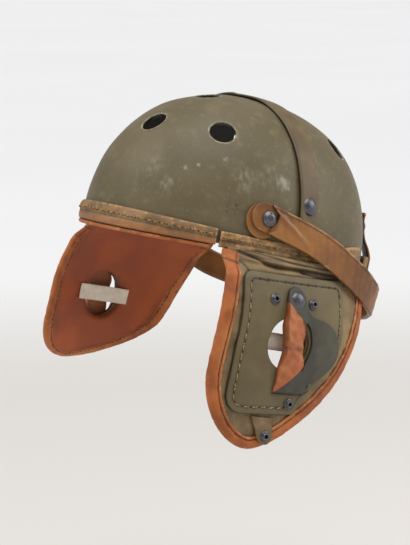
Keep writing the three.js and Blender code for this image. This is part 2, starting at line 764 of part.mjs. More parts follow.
// The keeper: a soft leather loop cut from one piece, its front limb twisted up off the plate.
function makeKeeper(side, sign) {
  const smooth = (rows, count) => {
    const points = rows.map((row) => new THREE.Vector3(...earPlace(row).toArray(), 0));
    const curve = new THREE.CatmullRomCurve3(points, true, 'centripetal');
    return curve.getSpacedPoints(count).slice(0, count).map((point) => new THREE.Vector2(point.x, point.y));
  };
  const centre = earPlace(KEEPER_CENTRE);
  const slot = smooth(KEEPER_SLOT, 60);
  const slotEdge = (angle) => slot.reduce((best, place) => {
    const turn = (candidate) => {
      const away = candidate.clone().sub(centre);
      return Math.cos(Math.atan2(away.y, away.x) - angle);
    };
    return turn(place) > turn(best) ? place : best;
  }).clone();
  const twist = (place) => {
    const limb = smoothStep(0, EAR_HOLE / 2, centre.x - place.x);
    const middle = 1 - Math.min(Math.abs(place.y - centre.y) / EAR_HOLE, 1) ** 2;
    return KEEPER_TWIST * limb * middle;
  };
  const outer = (place) => KEEPER_FACE + twist(place);
  const inner = (place) => KEEPER_BACK + twist(place);
  const keeper = flapSheet(smooth(KEEPER_OUTLINE, 34), slotEdge, centre, 1, outer, inner, sign);
  addPiece(`ear_keeper_${side}`, keeper, 'keeperLeather');
}

// Seats a rivet or stud on the flap at a place, off its face by an offset.
function seatOnFlap(name, geometry, place, offset, sign) {
  const point = flapPoint(place, offset, sign);
  seat(addPiece(name, geometry, 'gunmetal'), point, flapNormal(place, sign));
}

function makePlateHardware(side, sign) {
  const rivet = capRivet(KEEPER_RIVET_DIAMETER);
  seatOnFlap(`keeper_rivet_${side}`, rivet, earPlace(KEEPER_RIVET), KEEPER_FACE + CLEARANCE, sign);
  STUDS.forEach((row) => {
    const stud = snapStud(STUD_DIAMETER);
    seatOnFlap(`${row.name}_${side}`, stud, earPlace(row), STUD_BACK, sign);
  });
}

// The tab that comes out below the plate and buttons down over the binding.
function makeTab(side, sign) {
  const plateFoot = -Math.max(...PLATE_CORNERS.map((row) => row.down)) * FLAP_DROP;
  const start = EAR_HOLE_ALONG + TAB.along * EAR_HOLE;
  const low = 2 * CLEARANCE;
  const half = TAB_WIDTH / 2;
  const stations = 9;
  const middle = (share) => new THREE.Vector2(
    start + TAB.slant * EAR_HOLE * share,
    plateFoot - CLEARANCE - TAB_LENGTH * share,
  );
  const sections = Array.from({ length: stations }, (_, station) => {
    const share = Math.sin((station / (stations - 1)) * (Math.PI / 2));
    const past = Math.max(share - TAB.round, 0) / (1 - TAB.round);
    const width = half * (1 - TAB.taper * share) * Math.max(Math.sqrt(1 - past * past), TAB.tip);
    const place = middle(share);
    const corner = (across, offset) => (
      flapPoint(new THREE.Vector2(place.x + across, place.y), offset, sign)
    );
    const offset = THREE.MathUtils.lerp(low, TAB_BACK, smoothStep(TAB.climbFrom, TAB.climbTo, share));
    return [corner(-width, offset), corner(width, offset), corner(width, offset + TAB_THICKNESS),
      corner(-width, offset + TAB_THICKNESS)];
  });
  addPiece(`flap_tab_${side}`, loft(sections), 'paintedLeather');
  const studPlace = middle(TAB.stud);
  const studOffset = TAB_BACK + TAB_THICKNESS + CLEARANCE;
  seatOnFlap(`tab_stud_${side}`, snapStud(STUD_DIAMETER), studPlace, studOffset, sign);
}

// The cotton tape sewn to the back of the lining, across the ear hole.
function makeTape(side, sign) {
  const face = -PANEL_THICKNESS - FLAP_LINING_THICKNESS - 2 * CLEARANCE - 0.5 * FACET_DIP;
  const half = TAPE_WIDTH / 2;
  const stations = 9;
  const sections = Array.from({ length: stations }, (_, station) => {
    const along = EAR_HOLE_ALONG + TAPE_LENGTH * (station / (stations - 1) - 0.5);
    const corner = (up, offset) => flapPoint(new THREE.Vector2(along, up - EAR_HOLE_DOWN), offset, sign);
    return [corner(-half, face), corner(half, face), corner(half, face - TAPE_THICKNESS),
      corner(-half, face - TAPE_THICKNESS)];
  });
  addPiece(`ear_tape_${side}`, loft(sections), 'cottonTape');
}

// Where the chin strap is riveted to the shell: the middle of the shell's face there and its normal.
function chinRivetSeat() {
  const share = planShare(CHIN_RIVET_HEIGHT, 0);
  const point = wallPoint(angleAlong(CHIN_RIVET_ALONG, share), CHIN_RIVET_HEIGHT, 0);
  return { point, normal: domeNormal(point) };
}

// The chin strap is one whole loop, from its rivet on one side round the back to the other.
function makeChinStrap() {
  const { point, normal } = chinRivetSeat();
  const lift = CHIN_BACKING_THICKNESS + 3 * CLEARANCE;
  const rivet = point.clone().addScaledVector(normal, lift);
  const reach = new THREE.Vector3(
    HALF_WIDTH + CHIN_STRAP_SIDE_STANDOFF,
    HALF_LENGTH + CHIN_STRAP_BACK_STANDOFF,
    CHIN_STRAP_DROP,
  );
  const half = CHIN_ROUTE.map((row) => new THREE.Vector3(row.across, row.along, -row.down).multiply(reach));
  const flatRun = half[0].clone().sub(rivet).projectOnPlane(normal).setLength(CHIN_BACKING_DIAMETER / 2);
  const near = [rivet.clone().sub(flatRun), rivet, rivet.clone().add(flatRun), ...half];
  const far = near.slice(0, -1).reverse().map((place) => place.clone().setX(-place.x));
  const curve = new THREE.CatmullRomCurve3([...near, ...far], false, 'centripetal');
  const length = curve.getLength();
  const endRound = CHIN_STRAP_WIDTH / 2;
  const roundSteps = CHIN_END_STEPS.map((share) => (share * endRound) / length);
  const plainCount = 38;
  const plainSteps = Array.from({ length: plainCount }, (_, step) => (
    roundSteps.at(-1) + ((1 - 2 * roundSteps.at(-1)) * (step + 1)) / (plainCount + 1)
  ));
  const stations = [...roundSteps, ...plainSteps, ...roundSteps.map((share) => 1 - share).reverse()];
  const upright = new THREE.Vector3(0, 0, 1);
  const sections = stations.map((share) => {
    const place = curve.getPointAt(share);
    const run = curve.getTangentAt(share);
    const toEnd = Math.min(share, 1 - share) * length;
    const short = Math.max(1 - toEnd / endRound, 0);
    const width = endRound * Math.max(Math.sqrt(1 - short * short), CHIN_TIP);
    const freed = smoothStep(CHIN_BACKING_DIAMETER, length / 4, toEnd);
    const lean = THREE.MathUtils.degToRad(CHIN_STRAP_LEAN);
    const free = new THREE.Vector3().crossVectors(run, upright).normalize();
    free.addScaledVector(upright, -Math.tan(lean)).normalize();
    const seated = normal.clone().setX(normal.x * (share < 0.5 ? 1 : -1));
    const out = seated.lerp(free, freed).projectOnPlane(run).normalize();
    const up = new THREE.Vector3().crossVectors(out, run).normalize();
    const edge = STRAP_EDGE * CHIN_STRAP_THICKNESS;
    const corners = [[-width, 0], [width, 0], [width, CHIN_STRAP_THICKNESS - edge],
      [width - edge, CHIN_STRAP_THICKNESS], [edge - width, CHIN_STRAP_THICKNESS],
      [-width, CHIN_STRAP_THICKNESS - edge]];
    return corners.map(([across, off]) => place.clone().addScaledVector(up, across).addScaledVector(out, off));
  });
  addPiece('chin_strap', loft(sections), 'strapLeather');
  const forward = flatRun.clone().normalize().negate();
  [['left', 1], ['right', -1]].forEach(([side, sign]) => makeChinSeat(side, sign, point, normal, forward));
}

// The round leather backing and the rivet at one end of the chin strap.
function makeChinSeat(side, sign, point, normal, forward) {
  const section = [{ out: 0, up: 0 }, { out: 1, up: 0 }, { out: 1, up: 1 }, { out: 0, up: 1 }];
  const disc = turned(section, CHIN_BACKING_DIAMETER / 2, CHIN_BACKING_THICKNESS, 18);
  const facing = normal.clone().setX(normal.x * sign);
  const at = (lift, shift) => {
    const place = point.clone().addScaledVector(normal, lift).addScaledVector(forward, shift);
    return place.setX(place.x * sign);
  };
  const backing = addPiece(`chin_backing_${side}`, disc, 'strapLeather');
  seat(backing, at(2 * CLEARANCE, CHIN_BACKING_SHIFT), facing);
  const rivetLift = CHIN_BACKING_THICKNESS + CHIN_STRAP_THICKNESS + 4 * CLEARANCE;
  seat(addPiece(`chin_rivet_${side}`, capRivet(CHIN_RIVET_DIAMETER), 'gunmetal'), at(rivetLift, 0), facing);
}

// The neck guard: a curved padded leather panel behind the shell, its lower corners rounded.
function makeNeckGuard() {
  const stations = 20;
  const inner = GUARD_STANDOFF;
  const outer = GUARD_STANDOFF + GUARD_THICKNESS;
  const half = GUARD_WIDTH / 2;
  const sections = Array.from({ length: stations }, (_, station) => {
    const across = half * Math.sin(Math.PI * (station / (stations - 1) - 0.5));
    const angle = angleAcross(across);
    const past = Math.max(Math.abs(across) - (half - GUARD_CORNER), 0) / GUARD_CORNER;
    const foot = GUARD_TOP - GUARD_DROP + GUARD_CORNER * (1 - Math.sqrt(Math.max(1 - past * past, 0)));
    const corner = (offset, height) => wallPoint(angle, Math.min(height, 0), offset).setZ(height);
    return [corner(inner, foot), corner(outer, foot), corner(outer, GUARD_TOP - GUARD_EDGE),
      corner(outer - GUARD_EDGE, GUARD_TOP), corner(inner, GUARD_TOP)];
  });
  addPiece('neck_guard', loft(sections), 'paintedLeather');
}

// The strap that joins one side of the neck guard to the shell, and the snap that holds it there.
function makeGuardStrap(side, sign) {
  const seated = CLEARANCE + FACET_DIP;
  const face = GUARD_STANDOFF + GUARD_THICKNESS + seated;
  const half = GUARD_STRAP_WIDTH / 2;
  const lowerEnd = GUARD_TOP - GUARD_STRAP_LAP;
  const point = (row, across, extra) => {
    const height = lowerEnd + row.up * GUARD_STRAP_LENGTH;
    const offset = THREE.MathUtils.lerp(seated, face, row.out) + extra;
    const level = row.out === 1 ? 0 : height;
    const share = planShare(level, offset);
    return wallPoint(angleAcross(across, share), level, offset).setZ(height);
  };
  const sections = GUARD_STRAP_ROWS.map((row) => [
    point(row, GUARD_STRAP_ACROSS - half, 0), point(row, GUARD_STRAP_ACROSS + half, 0),
    point(row, GUARD_STRAP_ACROSS + half, GUARD_STRAP_THICKNESS),
    point(row, GUARD_STRAP_ACROSS - half, GUARD_STRAP_THICKNESS),
  ]);
  sections.flat().forEach((place) => place.setX(place.x * sign));
  addPiece(`guard_strap_${side}`, loft(sections), 'strapLeather');
  const snap = { up: GUARD_SNAP_UP / GUARD_STRAP_LENGTH, out: 0 };
  const centre = point(snap, GUARD_STRAP_ACROSS, GUARD_STRAP_THICKNESS + CLEARANCE);
  const normal = domeNormal(centre);
  centre.x *= sign;
  normal.x *= sign;
  seat(addPiece(`guard_snap_${side}`, capRivet(GUARD_SNAP_DIAMETER), 'gunmetal'), centre, normal);
}

makeShell();
makeCrownStrap();
makeBrowBand();
makeBrowLining();
makeChinStrap();
makeNeckGuard();
[['left', 1], ['right', -1]].forEach(([side, sign]) => {
  makeSideBand(side, sign);
  makeFlapLeathers(side, sign);
  makeBinding(side, sign);
  makePlate(side, sign);
  makeKeeper(side, sign);
  makePlateHardware(side, sign);
  makeTab(side, sign);
  makeTape(side, sign);
  makeGuardStrap(side, sign);
});

export default helmet;
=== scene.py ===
"""Looks of a worn tanker helmet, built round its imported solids.

Sizes are in millimetres in the helmet's own frame, its rim level, and each mesh is tilted to the
angle at which the helmet is worn and scaled to metres as it is added.
"""
import logging
import math
from collections.abc import Callable, Sequence
from dataclasses import dataclass
from enum import Enum

import bmesh
import bpy
import numpy as np
from mathutils import Matrix, Vector


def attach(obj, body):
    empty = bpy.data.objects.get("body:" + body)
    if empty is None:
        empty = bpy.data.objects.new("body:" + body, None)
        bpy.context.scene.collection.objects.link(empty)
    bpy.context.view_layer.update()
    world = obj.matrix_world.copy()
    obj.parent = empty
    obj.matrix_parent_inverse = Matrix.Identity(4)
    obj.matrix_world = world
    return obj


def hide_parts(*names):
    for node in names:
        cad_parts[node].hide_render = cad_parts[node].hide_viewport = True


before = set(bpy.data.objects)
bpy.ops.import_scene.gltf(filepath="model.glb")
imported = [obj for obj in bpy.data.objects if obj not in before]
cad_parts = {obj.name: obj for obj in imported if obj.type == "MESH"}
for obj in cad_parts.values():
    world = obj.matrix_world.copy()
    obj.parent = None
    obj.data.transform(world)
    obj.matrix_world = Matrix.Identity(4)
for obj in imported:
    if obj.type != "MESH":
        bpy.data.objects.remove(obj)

logging.basicConfig(level=logging.INFO, format="%(message)s")
LOG = logging.getLogger("tanker_helmet")
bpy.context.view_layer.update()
MM = 0.001
# In metres: points nearer than this are one point.
WELD_DISTANCE = 2e-6

# Sizes that more than one piece uses.
CLEARANCE = 0.3
WORN_TILT = 15.0
HALF_WIDTH, HALF_LENGTH = 104.0, 131.0
SHELL_HEIGHT, SHELL_WALL = 125.5, 3.0
PLAN_ROUNDNESS, PROFILE_ROUNDNESS = 2.11, 2.27
BAND_BOTTOM = -1.2
# A mean radius of the rim, which turns plan angles into lengths along it.
RIM_RADIUS = 115

# Tables of shares, the same as the solids', apart from the keeper's. Vents: across, along.
VENTS = ((0, -0.775), (0, 0.775), (0, -0.38), (0, 0.38), (0.54, -0.565), (-0.54, -0.565),
         (0.565, 0.41), (-0.565, 0.41))
# The flap's outline: along, down.
FLAP_OUTLINE = ((-0.494, 0.022), (-0.53, 0.21), (-0.556, 0.48), (-0.552, 0.7), (-0.488, 0.86),
                (-0.391, 0.96), (-0.277, 1), (-0.137, 0.956), (0.005, 0.865), (0.164, 0.735),
                (0.312, 0.553), (0.407, 0.3), (0.438, 0.12), (0.444, 0.022))
# The plate's corners: along, down, share of the largest corner's radius.
PLATE_CORNERS = ((-0.438, 0.106, 0.6), (0.228, 0.082, 0.6), (0.228, 0.47, 0.9), (-0.004, 0.728, 0.3),
                 (-0.026, 0.795, 0.3), (-0.456, 0.825, 1), (-0.453, 0.5, 1))
# The keeper's outline and slot, finer than the solids', from the ear hole's centre: along, down, as
# shares of the hole.
KEEPER_OUTLINE = ((0.07, -1.1), (-0.1, -1.04), (-0.17, -0.86), (-0.2, -0.6), (-0.26, -0.35), (-0.2, -0.08),
                  (-0.17, 0.15), (-0.21, 0.5), (-0.2, 0.84), (-0.22, 0.92), (-0.14, 0.93), (0.14, 0.92),
                  (0.5, 0.9), (0.57, 0.83), (0.58, 0.76), (0.67, 0.71), (0.85, 0.61), (1.15, 0.39),
                  (1.32, 0.14), (1.28, -0.16), (1.1, -0.4), (0.83, -0.53), (0.48, -0.6), (0.31, -0.76),
                  (0.25, -0.98))
KEEPER_SLOT = ((0.31, -0.46), (0.42, -0.36), (0.5, -0.16), (0.52, 0.02), (0.47, 0.24), (0.38, 0.47),
               (0.355, 0.28), (0.32, 0.1), (0.31, -0.04), (0.335, -0.24))
KEEPER_CENTRE = (0.42, 0.0)
# Where the keeper's tan flesh side turns out, from under the rivet to the bottom corner.
KEEPER_TURN = ((-0.3, -0.86), (-0.16, -0.77), (0.0, -0.63), (0.18, -0.5), (0.36, -0.36), (0.4, -0.1),
               (0.4, 0.28), (0.33, 0.43), (0.07, 0.69), (-0.17, 0.91), (-0.3, 0.99))
KEEPER_RIVET = (0.06, -0.86)
# The slit of the plate that the keeper's foot passes through.
KEEPER_SLIT = ((-0.2, 0.96), (0.56, 0.93), (0.7, 0.83))
STUDS = {"front_stud": (-0.45, -0.81), "rear_stud": (0.5, -0.82), "lower_stud": (0.25, 1.13)}
# The chin strap's route round the near half: across, along, down, as shares of its reach.
CHIN_ROUTE = ((0.93, -0.15, -0.57), (0.975, 0.014, -0.38), (1, 0.205, -0.08), (1, 0.388, 0.26),
              (0.945, 0.565, 0.6), (0.785, 0.705, 0.77), (0.517, 0.868, 0.91), (0.26, 0.968, 0.975),
              (0, 1, 1))
# The guard strap: up its length, out from the shell towards the guard's face.
GUARD_STRAP_ROWS = ((0, 1), (0.3, 1), (0.42, 0.72), (0.55, 0.2), (0.68, 0), (0.9, 0), (1, 0.3))


class Side(Enum):
    """The wearer's left and right."""

    LEFT = 1
    RIGHT = -1

    @property
    def label(self) -> str:
        """The side's name as the solids' names end."""
        return self.name.lower()


# How far outside the shell's wall each flap's drawn-in top lies, in mm.
TUCK = {Side.LEFT: 7.0, Side.RIGHT: 4.8}


class Mark(Enum):
    """What a mesh's points say to its material."""

    WEAR = "wear"
    # Dirt and painted shade together: pieces darken their creases, grooves, undersides and hidden faces
    # through this mark, as painted shade.
    DIRT = "dirt"
    FLESH = "flesh"


# Short names for types: what feeds a shader, a material with its slot, a mesh's marks.
Array = np.ndarray
Socket = bpy.types.NodeSocket
Number = float | Array
Feed = float | str | Socket
Finish = tuple[bpy.types.Material, str]
Marks = dict[Mark, Number]


def smooth(low: float, high: float, value: Number) -> Number:
    """Rises from 0 at low to 1 at high, level at both."""
    share = np.clip((np.asarray(value, float) - low) / (high - low), 0, 1)
    return share * share * (3 - 2 * share)


def fullness(value: Number, exponent: float) -> Number:
    """A signed power, which rounds an ellipse's formula into a fuller one."""
    return np.sign(value) * np.abs(value) ** exponent


def bump(distance: Number, width: float) -> Number:
    """A soft ridge, 1 at no distance."""
    return np.exp(-((np.asarray(distance) / width) ** 2))


def ripple(points: Array, size: float, seed: int, waves: int = 9) -> Array:
    """Smooth seeded unevenness, about -1 to 1.

    Args:
        points: places of any dimension, in their last axis.
        size: the length of one wave in mm.
        seed: picks the pattern.
        waves: how many waves are added up.

    Returns:
        One value for each point.
    """
    rng = np.random.default_rng(seed)
    total = np.zeros(points.shape[:-1])
    for _ in range(waves):
        way = rng.normal(size=points.shape[-1])
        way *= 2 * math.pi / size / np.linalg.norm(way) * rng.uniform(0.6, 1.6)
        total += np.sin(points @ way + rng.uniform(0, 2 * math.pi))
    return total / math.sqrt(waves)


def along_line(line: Array, count: int, closed: bool = False) -> Array:
    """Spreads points evenly along a line.

    Args:
        line: its points.
        count: how many points to spread.
        closed: whether the line returns to its start.

    Returns:
        The new points.
    """
    line = np.vstack([line, line[:1]]) if closed else np.asarray(line)
    reach = np.concatenate([[0], np.cumsum(np.linalg.norm(np.diff(line, axis=0), axis=1))])
    wanted = np.linspace(0, reach[-1], count + 1)[:-1] if closed else np.linspace(0, reach[-1], count)
    return np.stack([np.interp(wanted, reach, line[:, axis]) for axis in range(line.shape[1])], -1)


def catmull(points: Array | Sequence, closed: bool = False, fine: int = 24) -> Array:
    """A centripetal Catmull-Rom curve.

    Args:
        points: what it passes through.
        closed: whether it returns to its start.
        fine: its steps from one point to the next.

    Returns:
        The curve's points.
    """
    points = np.asarray(points, float)
    if closed:
        padded = np.vstack([points[-1], points, points[:2]])
    else:
        padded = np.vstack([2 * points[0] - points[1], points, 2 * points[-1] - points[-2]])
    parts = []
    share = np.linspace(0, 1, fine, endpoint=False)[:, None]
    for p0, p1, p2, p3 in zip(padded, padded[1:], padded[2:], padded[3:]):
        d0, d1, d2 = (max(np.linalg.norm(b - a), 1e-6) ** 0.5 for a, b in ((p0, p1), (p1, p2), (p2, p3)))
        t1 = ((p1 - p0) / d0 - (p2 - p0) / (d0 + d1) + (p2 - p1) / d1) * d1
        t2 = ((p2 - p1) / d1 - (p3 - p1) / (d1 + d2) + (p3 - p2) / d2) * d1
        parts.append(p1 + t1 * share + (3 * (p2 - p1) - 2 * t1 - t2) * share**2
                     + (2 * (p1 - p2) + t1 + t2) * share**3)
    return np.vstack(parts if closed else [*parts, points[-1:]])


def line_distance(places: Array, line: Array) -> Array:
    """How far each place lies from a line.

    Args:
        places: places in their last axis.
        line: its points.

    Returns:
        One distance for each place.
    """
    best = np.full(places.shape[:-1], 1e9)
    for start, end in zip(line, line[1:]):
        run = end - start
        share = np.clip(((places - start) @ run) / max(run @ run, 1e-9), 0, 1)
        best = np.minimum(best, np.linalg.norm(places - start - share[..., None] * run, axis=-1))
    return best


def unit(vectors: Array) -> Array:
    """Vectors scaled to length 1."""
    return vectors / np.maximum(np.linalg.norm(vectors, axis=-1, keepdims=True), 1e-9)


def plan_share(height: Number, offset: Number) -> Number:
    """How much of its plan the shell has at a height."""
    rise = np.clip(np.asarray(height, float) / (SHELL_HEIGHT + offset), 0, 1)
    return (1 - rise**PROFILE_ROUNDNESS) ** (1 / PROFILE_ROUNDNESS)


def wall_point(angle: Number, height: Number, offset: Number) -> Array:
    """A point of the shell's side.

    Args:
        angle: its direction in the plan.
        height: how far up it is.
        offset: how far off the wall it is.

    Returns:
        The point, or an array of points.
    """
    share = plan_share(height, offset)
    x = (HALF_WIDTH + offset) * share * fullness(np.cos(angle), 2 / PLAN_ROUNDNESS)
    y = (HALF_LENGTH + offset) * share * fullness(np.sin(angle), 2 / PLAN_ROUNDNESS)
    return np.stack(np.broadcast_arrays(x, y, np.asarray(height, float)), -1)


def angle_along(along: Number, share: Number = 1.0) -> Number:
    """The plan angle at which the rim reaches a place along the helmet."""
    return np.arcsin(fullness(along / (HALF_LENGTH * share), PLAN_ROUNDNESS / 2))


def angle_across(across: Number, share: Number = 1.0) -> Number:
    """The plan angle at which the rim reaches a place across the helmet, at the back."""
    return np.arccos(fullness(across / (HALF_WIDTH * share), PLAN_ROUNDNESS / 2))


def dome_height(across: Number, along: Number, offset: Number = 0.0) -> Number:
    """The dome's height above the plan.

    Args:
        across: how far left of the middle.
        along: how far behind the middle.
        offset: how far off the dome.

    Returns:
        The height in mm.
    """
    plan = (np.abs(across / (HALF_WIDTH + offset)) ** PLAN_ROUNDNESS
            + np.abs(along / (HALF_LENGTH + offset)) ** PLAN_ROUNDNESS)
    share = plan ** (PROFILE_ROUNDNESS / PLAN_ROUNDNESS)
    return (SHELL_HEIGHT + offset) * np.maximum(1 - share, 0) ** (1 / PROFILE_ROUNDNESS)


def dome_normal(points: Array) -> Array:
    """The dome's outward normal.

    Args:
        points: points of its surface.

    Returns:
        One unit vector for each point.
    """
    x, y, z = np.moveaxis(points, -1, 0)
    share = np.maximum(np.abs(x / HALF_WIDTH) ** PLAN_ROUNDNESS
                       + np.abs(y / HALF_LENGTH) ** PLAN_ROUNDNESS, 1e-6)
    weight = share ** (PROFILE_ROUNDNESS / PLAN_ROUNDNESS - 1)
    normal = [fullness(x / HALF_WIDTH, PLAN_ROUNDNESS - 1) / HALF_WIDTH * weight,
              fullness(y / HALF_LENGTH, PLAN_ROUNDNESS - 1) / HALF_LENGTH * weight,
              fullness(np.maximum(z, 0) / SHELL_HEIGHT, PROFILE_ROUNDNESS - 1) / SHELL_HEIGHT]
    return unit(np.stack(normal, -1))


def worn(points: Array) -> Array:
    """Turns points to the angle at which the helmet is worn.

    Args:
        points: places in mm, the rim level.

    Returns:
        The places in metres.
    """
    turn = math.radians(WORN_TILT)
    x, y, z = np.moveaxis(np.asarray(points, float), -1, 0)
    return MM * np.stack([x, y * math.cos(turn) + z * math.sin(turn),
                          z * math.cos(turn) - y * math.sin(turn)], -1)


def linear(colour: str) -> tuple:
    """An sRGB hex colour as the linear values that a shader takes."""
    values = [int(colour[at:at + 2], 16) / 255 for at in (1, 3, 5)]
    return (*(v / 12.92 if v <= 0.04045 else ((v + 0.055) / 1.055) ** 2.4 for v in values), 1.0)


def add_node(tree: bpy.types.NodeTree, kind: str, settings: dict | None = None,
             links: dict | None = None) -> bpy.types.Node:
    """Adds a shader node.

    Args:
        tree: the material's node tree.
        kind: the node's type.
        settings: its properties, and the values of its inputs by index or by capitalised name.
        links: what feeds its inputs.

    Returns:
        The node.
    """
    node = tree.nodes.new(kind)
    for key, value in (settings or {}).items():
        if isinstance(key, int) or key[0].isupper():
            node.inputs[key].default_value = value
        else:
            setattr(node, key, value)
    for key, source in (links or {}).items():
        tree.links.new(source, node.inputs[key])
    return node


class Shades:
    """A small set of node recipes for one material."""

    def __init__(self, name: str) -> None:
        """Starts an empty material, its coordinates in millimetres.

        Args:
            name: the material's name.
        """
        self.material = bpy.data.materials.new(name)
        self.material.use_nodes = True
        self.tree = self.material.node_tree
        self.tree.nodes.clear()
        place = add_node(self.tree, "ShaderNodeTexCoord").outputs["Object"]
        scaled = {"operation": "SCALE", "Scale": 1000.0}
        self.place = add_node(self.tree, "ShaderNodeVectorMath", scaled, {0: place}).outputs[0]

    def noise(self, size: float, detail: float = 3, stretch: tuple = (1, 1, 1), offset: float = 0) -> Socket:
        """Blotchy noise.

        Args:
            size: about how wide a blotch is, in mm.
            detail: how fine it gets.
            stretch: how tightly it is packed along each axis.
            offset: picks the pattern.

        Returns:
            A value from 0 to 1.
        """
        settings = {"Scale": tuple(s / size for s in stretch), "Location": (offset, offset, offset)}
        place = add_node(self.tree, "ShaderNodeMapping", settings, {"Vector": self.place})
        return add_node(self.tree, "ShaderNodeTexNoise", {"Scale": 1.0, "Detail": detail},
                        {"Vector": place.outputs[0]}).outputs[0]

    def cells(self, size: float) -> Socket:
        """Distance to the nearest of cells about size mm apart, like the grain of leather."""
        return add_node(self.tree, "ShaderNodeTexVoronoi", {"Scale": 1 / size, "feature": "SMOOTH_F1"},
                        {"Vector": self.place}).outputs["Distance"]

    def mark(self, mark: Mark) -> Socket:
        """A mark that the mesh's points carry."""
        return add_node(self.tree, "ShaderNodeAttribute", {"attribute_name": mark.value}).outputs["Fac"]

    def maths(self, operation: str, first: Feed, second: Feed = 0.5, third: Feed | None = None) -> Socket:
        """One sum of numbers or sockets.

        Args:
            operation: the node's name for it.
            first: its first term.
            second: its second term.
            third: its third term, if it has one.

        Returns:
            The result.
        """
        node = add_node(self.tree, "ShaderNodeMath", {"operation": operation})
        for index, value in enumerate((first, second, third)):
            if isinstance(value, Socket):
                self.tree.links.new(value, node.inputs[index])
            elif value is not None:
                node.inputs[index].default_value = value
        return node.outputs[0]

    def between(self, value: Feed, low: float, high: float) -> Socket:
        """A value turned to 0 at low and 1 at high, level at both.

        Args:
            value: what is turned.
            low: where 0 is.
            high: where 1 is.

        Returns:
            A value from 0 to 1.
        """
        settings = {"From Min": low, "From Max": high, "interpolation_type": "SMOOTHSTEP"}
        return add_node(self.tree, "ShaderNodeMapRange", settings, {"Value": value}).outputs[0]

    def mix(self, share: Feed, first: Feed, second: Feed) -> Socket:
        """A mix of two colours.

        Args:
            share: how much of the second there is.
            first: a hex value or a socket.
            second: the same.

        Returns:
            The mixed colour.
        """
        node = add_node(self.tree, "ShaderNodeMix", {"data_type": "RGBA"})
        colours = [socket for socket in node.inputs if socket.type == "RGBA"]
        for socket, value in zip(colours, (first, second)):
            if isinstance(value, str):
                socket.default_value = linear(value)
            else:
                self.tree.links.new(value, socket)
        if isinstance(share, (int, float)):
            node.inputs[0].default_value = share
        else:
            self.tree.links.new(share, node.inputs[0])
        return next(socket for socket in node.outputs if socket.type == "RGBA")

    def near(self, spot: Array, radius: float) -> Socket:
        """How near the surface is to a spot.

        Args:
            spot: a place of the helmet.
            radius: its reach in mm.

        Returns:
            1 at the spot and 0 a radius away.
        """
        place = tuple(worn(spot) * 1000)
        away = add_node(self.tree, "ShaderNodeVectorMath", {"operation": "DISTANCE", 1: place},
                        {0: self.place}).outputs["Value"]
        return self.between(away, radius, 0.0)

    def finish(self, colour: Feed, roughness: Feed, height: Feed | None = None, depth: float = 0.0,
               **values: float) -> bpy.types.Material:
        """Joins the recipe to the shader.

        Args:
            colour: a hex value or a socket.
            roughness: a number or a socket.
            height: what raises the surface, from 0 to 1.
            depth: how far it raises it, in mm.
            values: plain values of the shader's other inputs, spaces written as underscores.

        Returns:
            The finished material.
        """
        shader = add_node(self.tree, "ShaderNodeBsdfPrincipled",
                          {key.replace("_", " "): value for key, value in values.items()})
        for key, value in (("Base Color", colour), ("Roughness", roughness)):
            if isinstance(value, str):
                shader.inputs[key].default_value = linear(value)
            elif isinstance(value, (int, float)):
                shader.inputs[key].default_value = value
            else:
                self.tree.links.new(value, shader.inputs[key])
        if height is not None:
            relief = add_node(self.tree, "ShaderNodeBump", {"Strength": 1.0, "Distance": depth * MM},
                              {"Height": height})
            self.tree.links.new(relief.outputs[0], shader.inputs["Normal"])
        add_node(self.tree, "ShaderNodeOutputMaterial", links={"Surface": shader.outputs[0]})
        return self.material


@dataclass(frozen=True)
class Leather:
    """How one leather looks. Colours are sRGB, sizes are in mm."""

    name: str
    slot: str
    base: str
    dark: str
    light: str
    worn: str
    flesh: str
    roughness: float
    grain: float = 0.9
    grain_depth: float = 0.12
    wear_from: float = 0.45
    mottle: float = 14.0

    def material(self) -> bpy.types.Material:
        """Grained hide: mottled dye, rubbed edges, folds darkened by dirt and painted shade, and its flesh
        side where marked.

        Returns:
            The material.
        """
        shades = Shades(self.name)
        broad = shades.noise(self.mottle * 3, 2)
        blotch = shades.noise(self.mottle, 4, offset=40)
        fine = shades.noise(2.2, 5, offset=80)
        colour = shades.mix(shades.between(blotch, 0.36, 0.66), self.dark, self.base)
        colour = shades.mix(shades.between(broad, 0.5, 0.72), colour, self.light)
        speckle = shades.between(fine, 0.3, 0.42)
        colour = shades.mix(shades.maths("MULTIPLY_ADD", speckle, -0.22, 0.22), colour, self.dark)
        rubbed = shades.maths("MULTIPLY_ADD", fine, 0.9, shades.mark(Mark.WEAR))
        rubbed = shades.maths("MULTIPLY_ADD", blotch, 0.5, rubbed)
        low = 0.7 + self.wear_from
        colour = shades.mix(shades.between(rubbed, low, low + 0.5), colour, self.worn)
        hide = shades.mix(shades.between(blotch, 0.4, 0.7), self.flesh, "#BD7446")
        colour = shades.mix(shades.between(shades.mark(Mark.FLESH), 0.35, 0.65), colour, hide)
        # Dirt, and painted shade in creases, grooves and under things, darken the leather towards near
        # black.
        dirt = shades.maths("MULTIPLY", shades.mark(Mark.DIRT), 0.92)
        colour = shades.mix(dirt, colour, "#14100B")
        gloss = shades.maths("MULTIPLY_ADD", blotch, 0.22, self.roughness - 0.11)
        pebble = shades.maths("MULTIPLY_ADD", shades.cells(self.grain), 0.6, shades.noise(0.6, 2))
        height = shades.maths("MULTIPLY_ADD", shades.noise(5, 4, offset=15), 1.6, pebble)
        return shades.finish(colour, gloss, height, self.grain_depth, Specular_IOR_Level=0.42)


@dataclass(frozen=True)
class Scuff:
    """A rubbed patch of the shell: across, along and up as shares of it, and its radius in mm."""

    across: float
    along: float
    up: float
    radius: float
    strength: float

    @property
    def spot(self) -> Array:
        """The patch's middle."""
        return np.array([self.across * HALF_WIDTH, self.along * HALF_LENGTH, self.up * SHELL_HEIGHT])


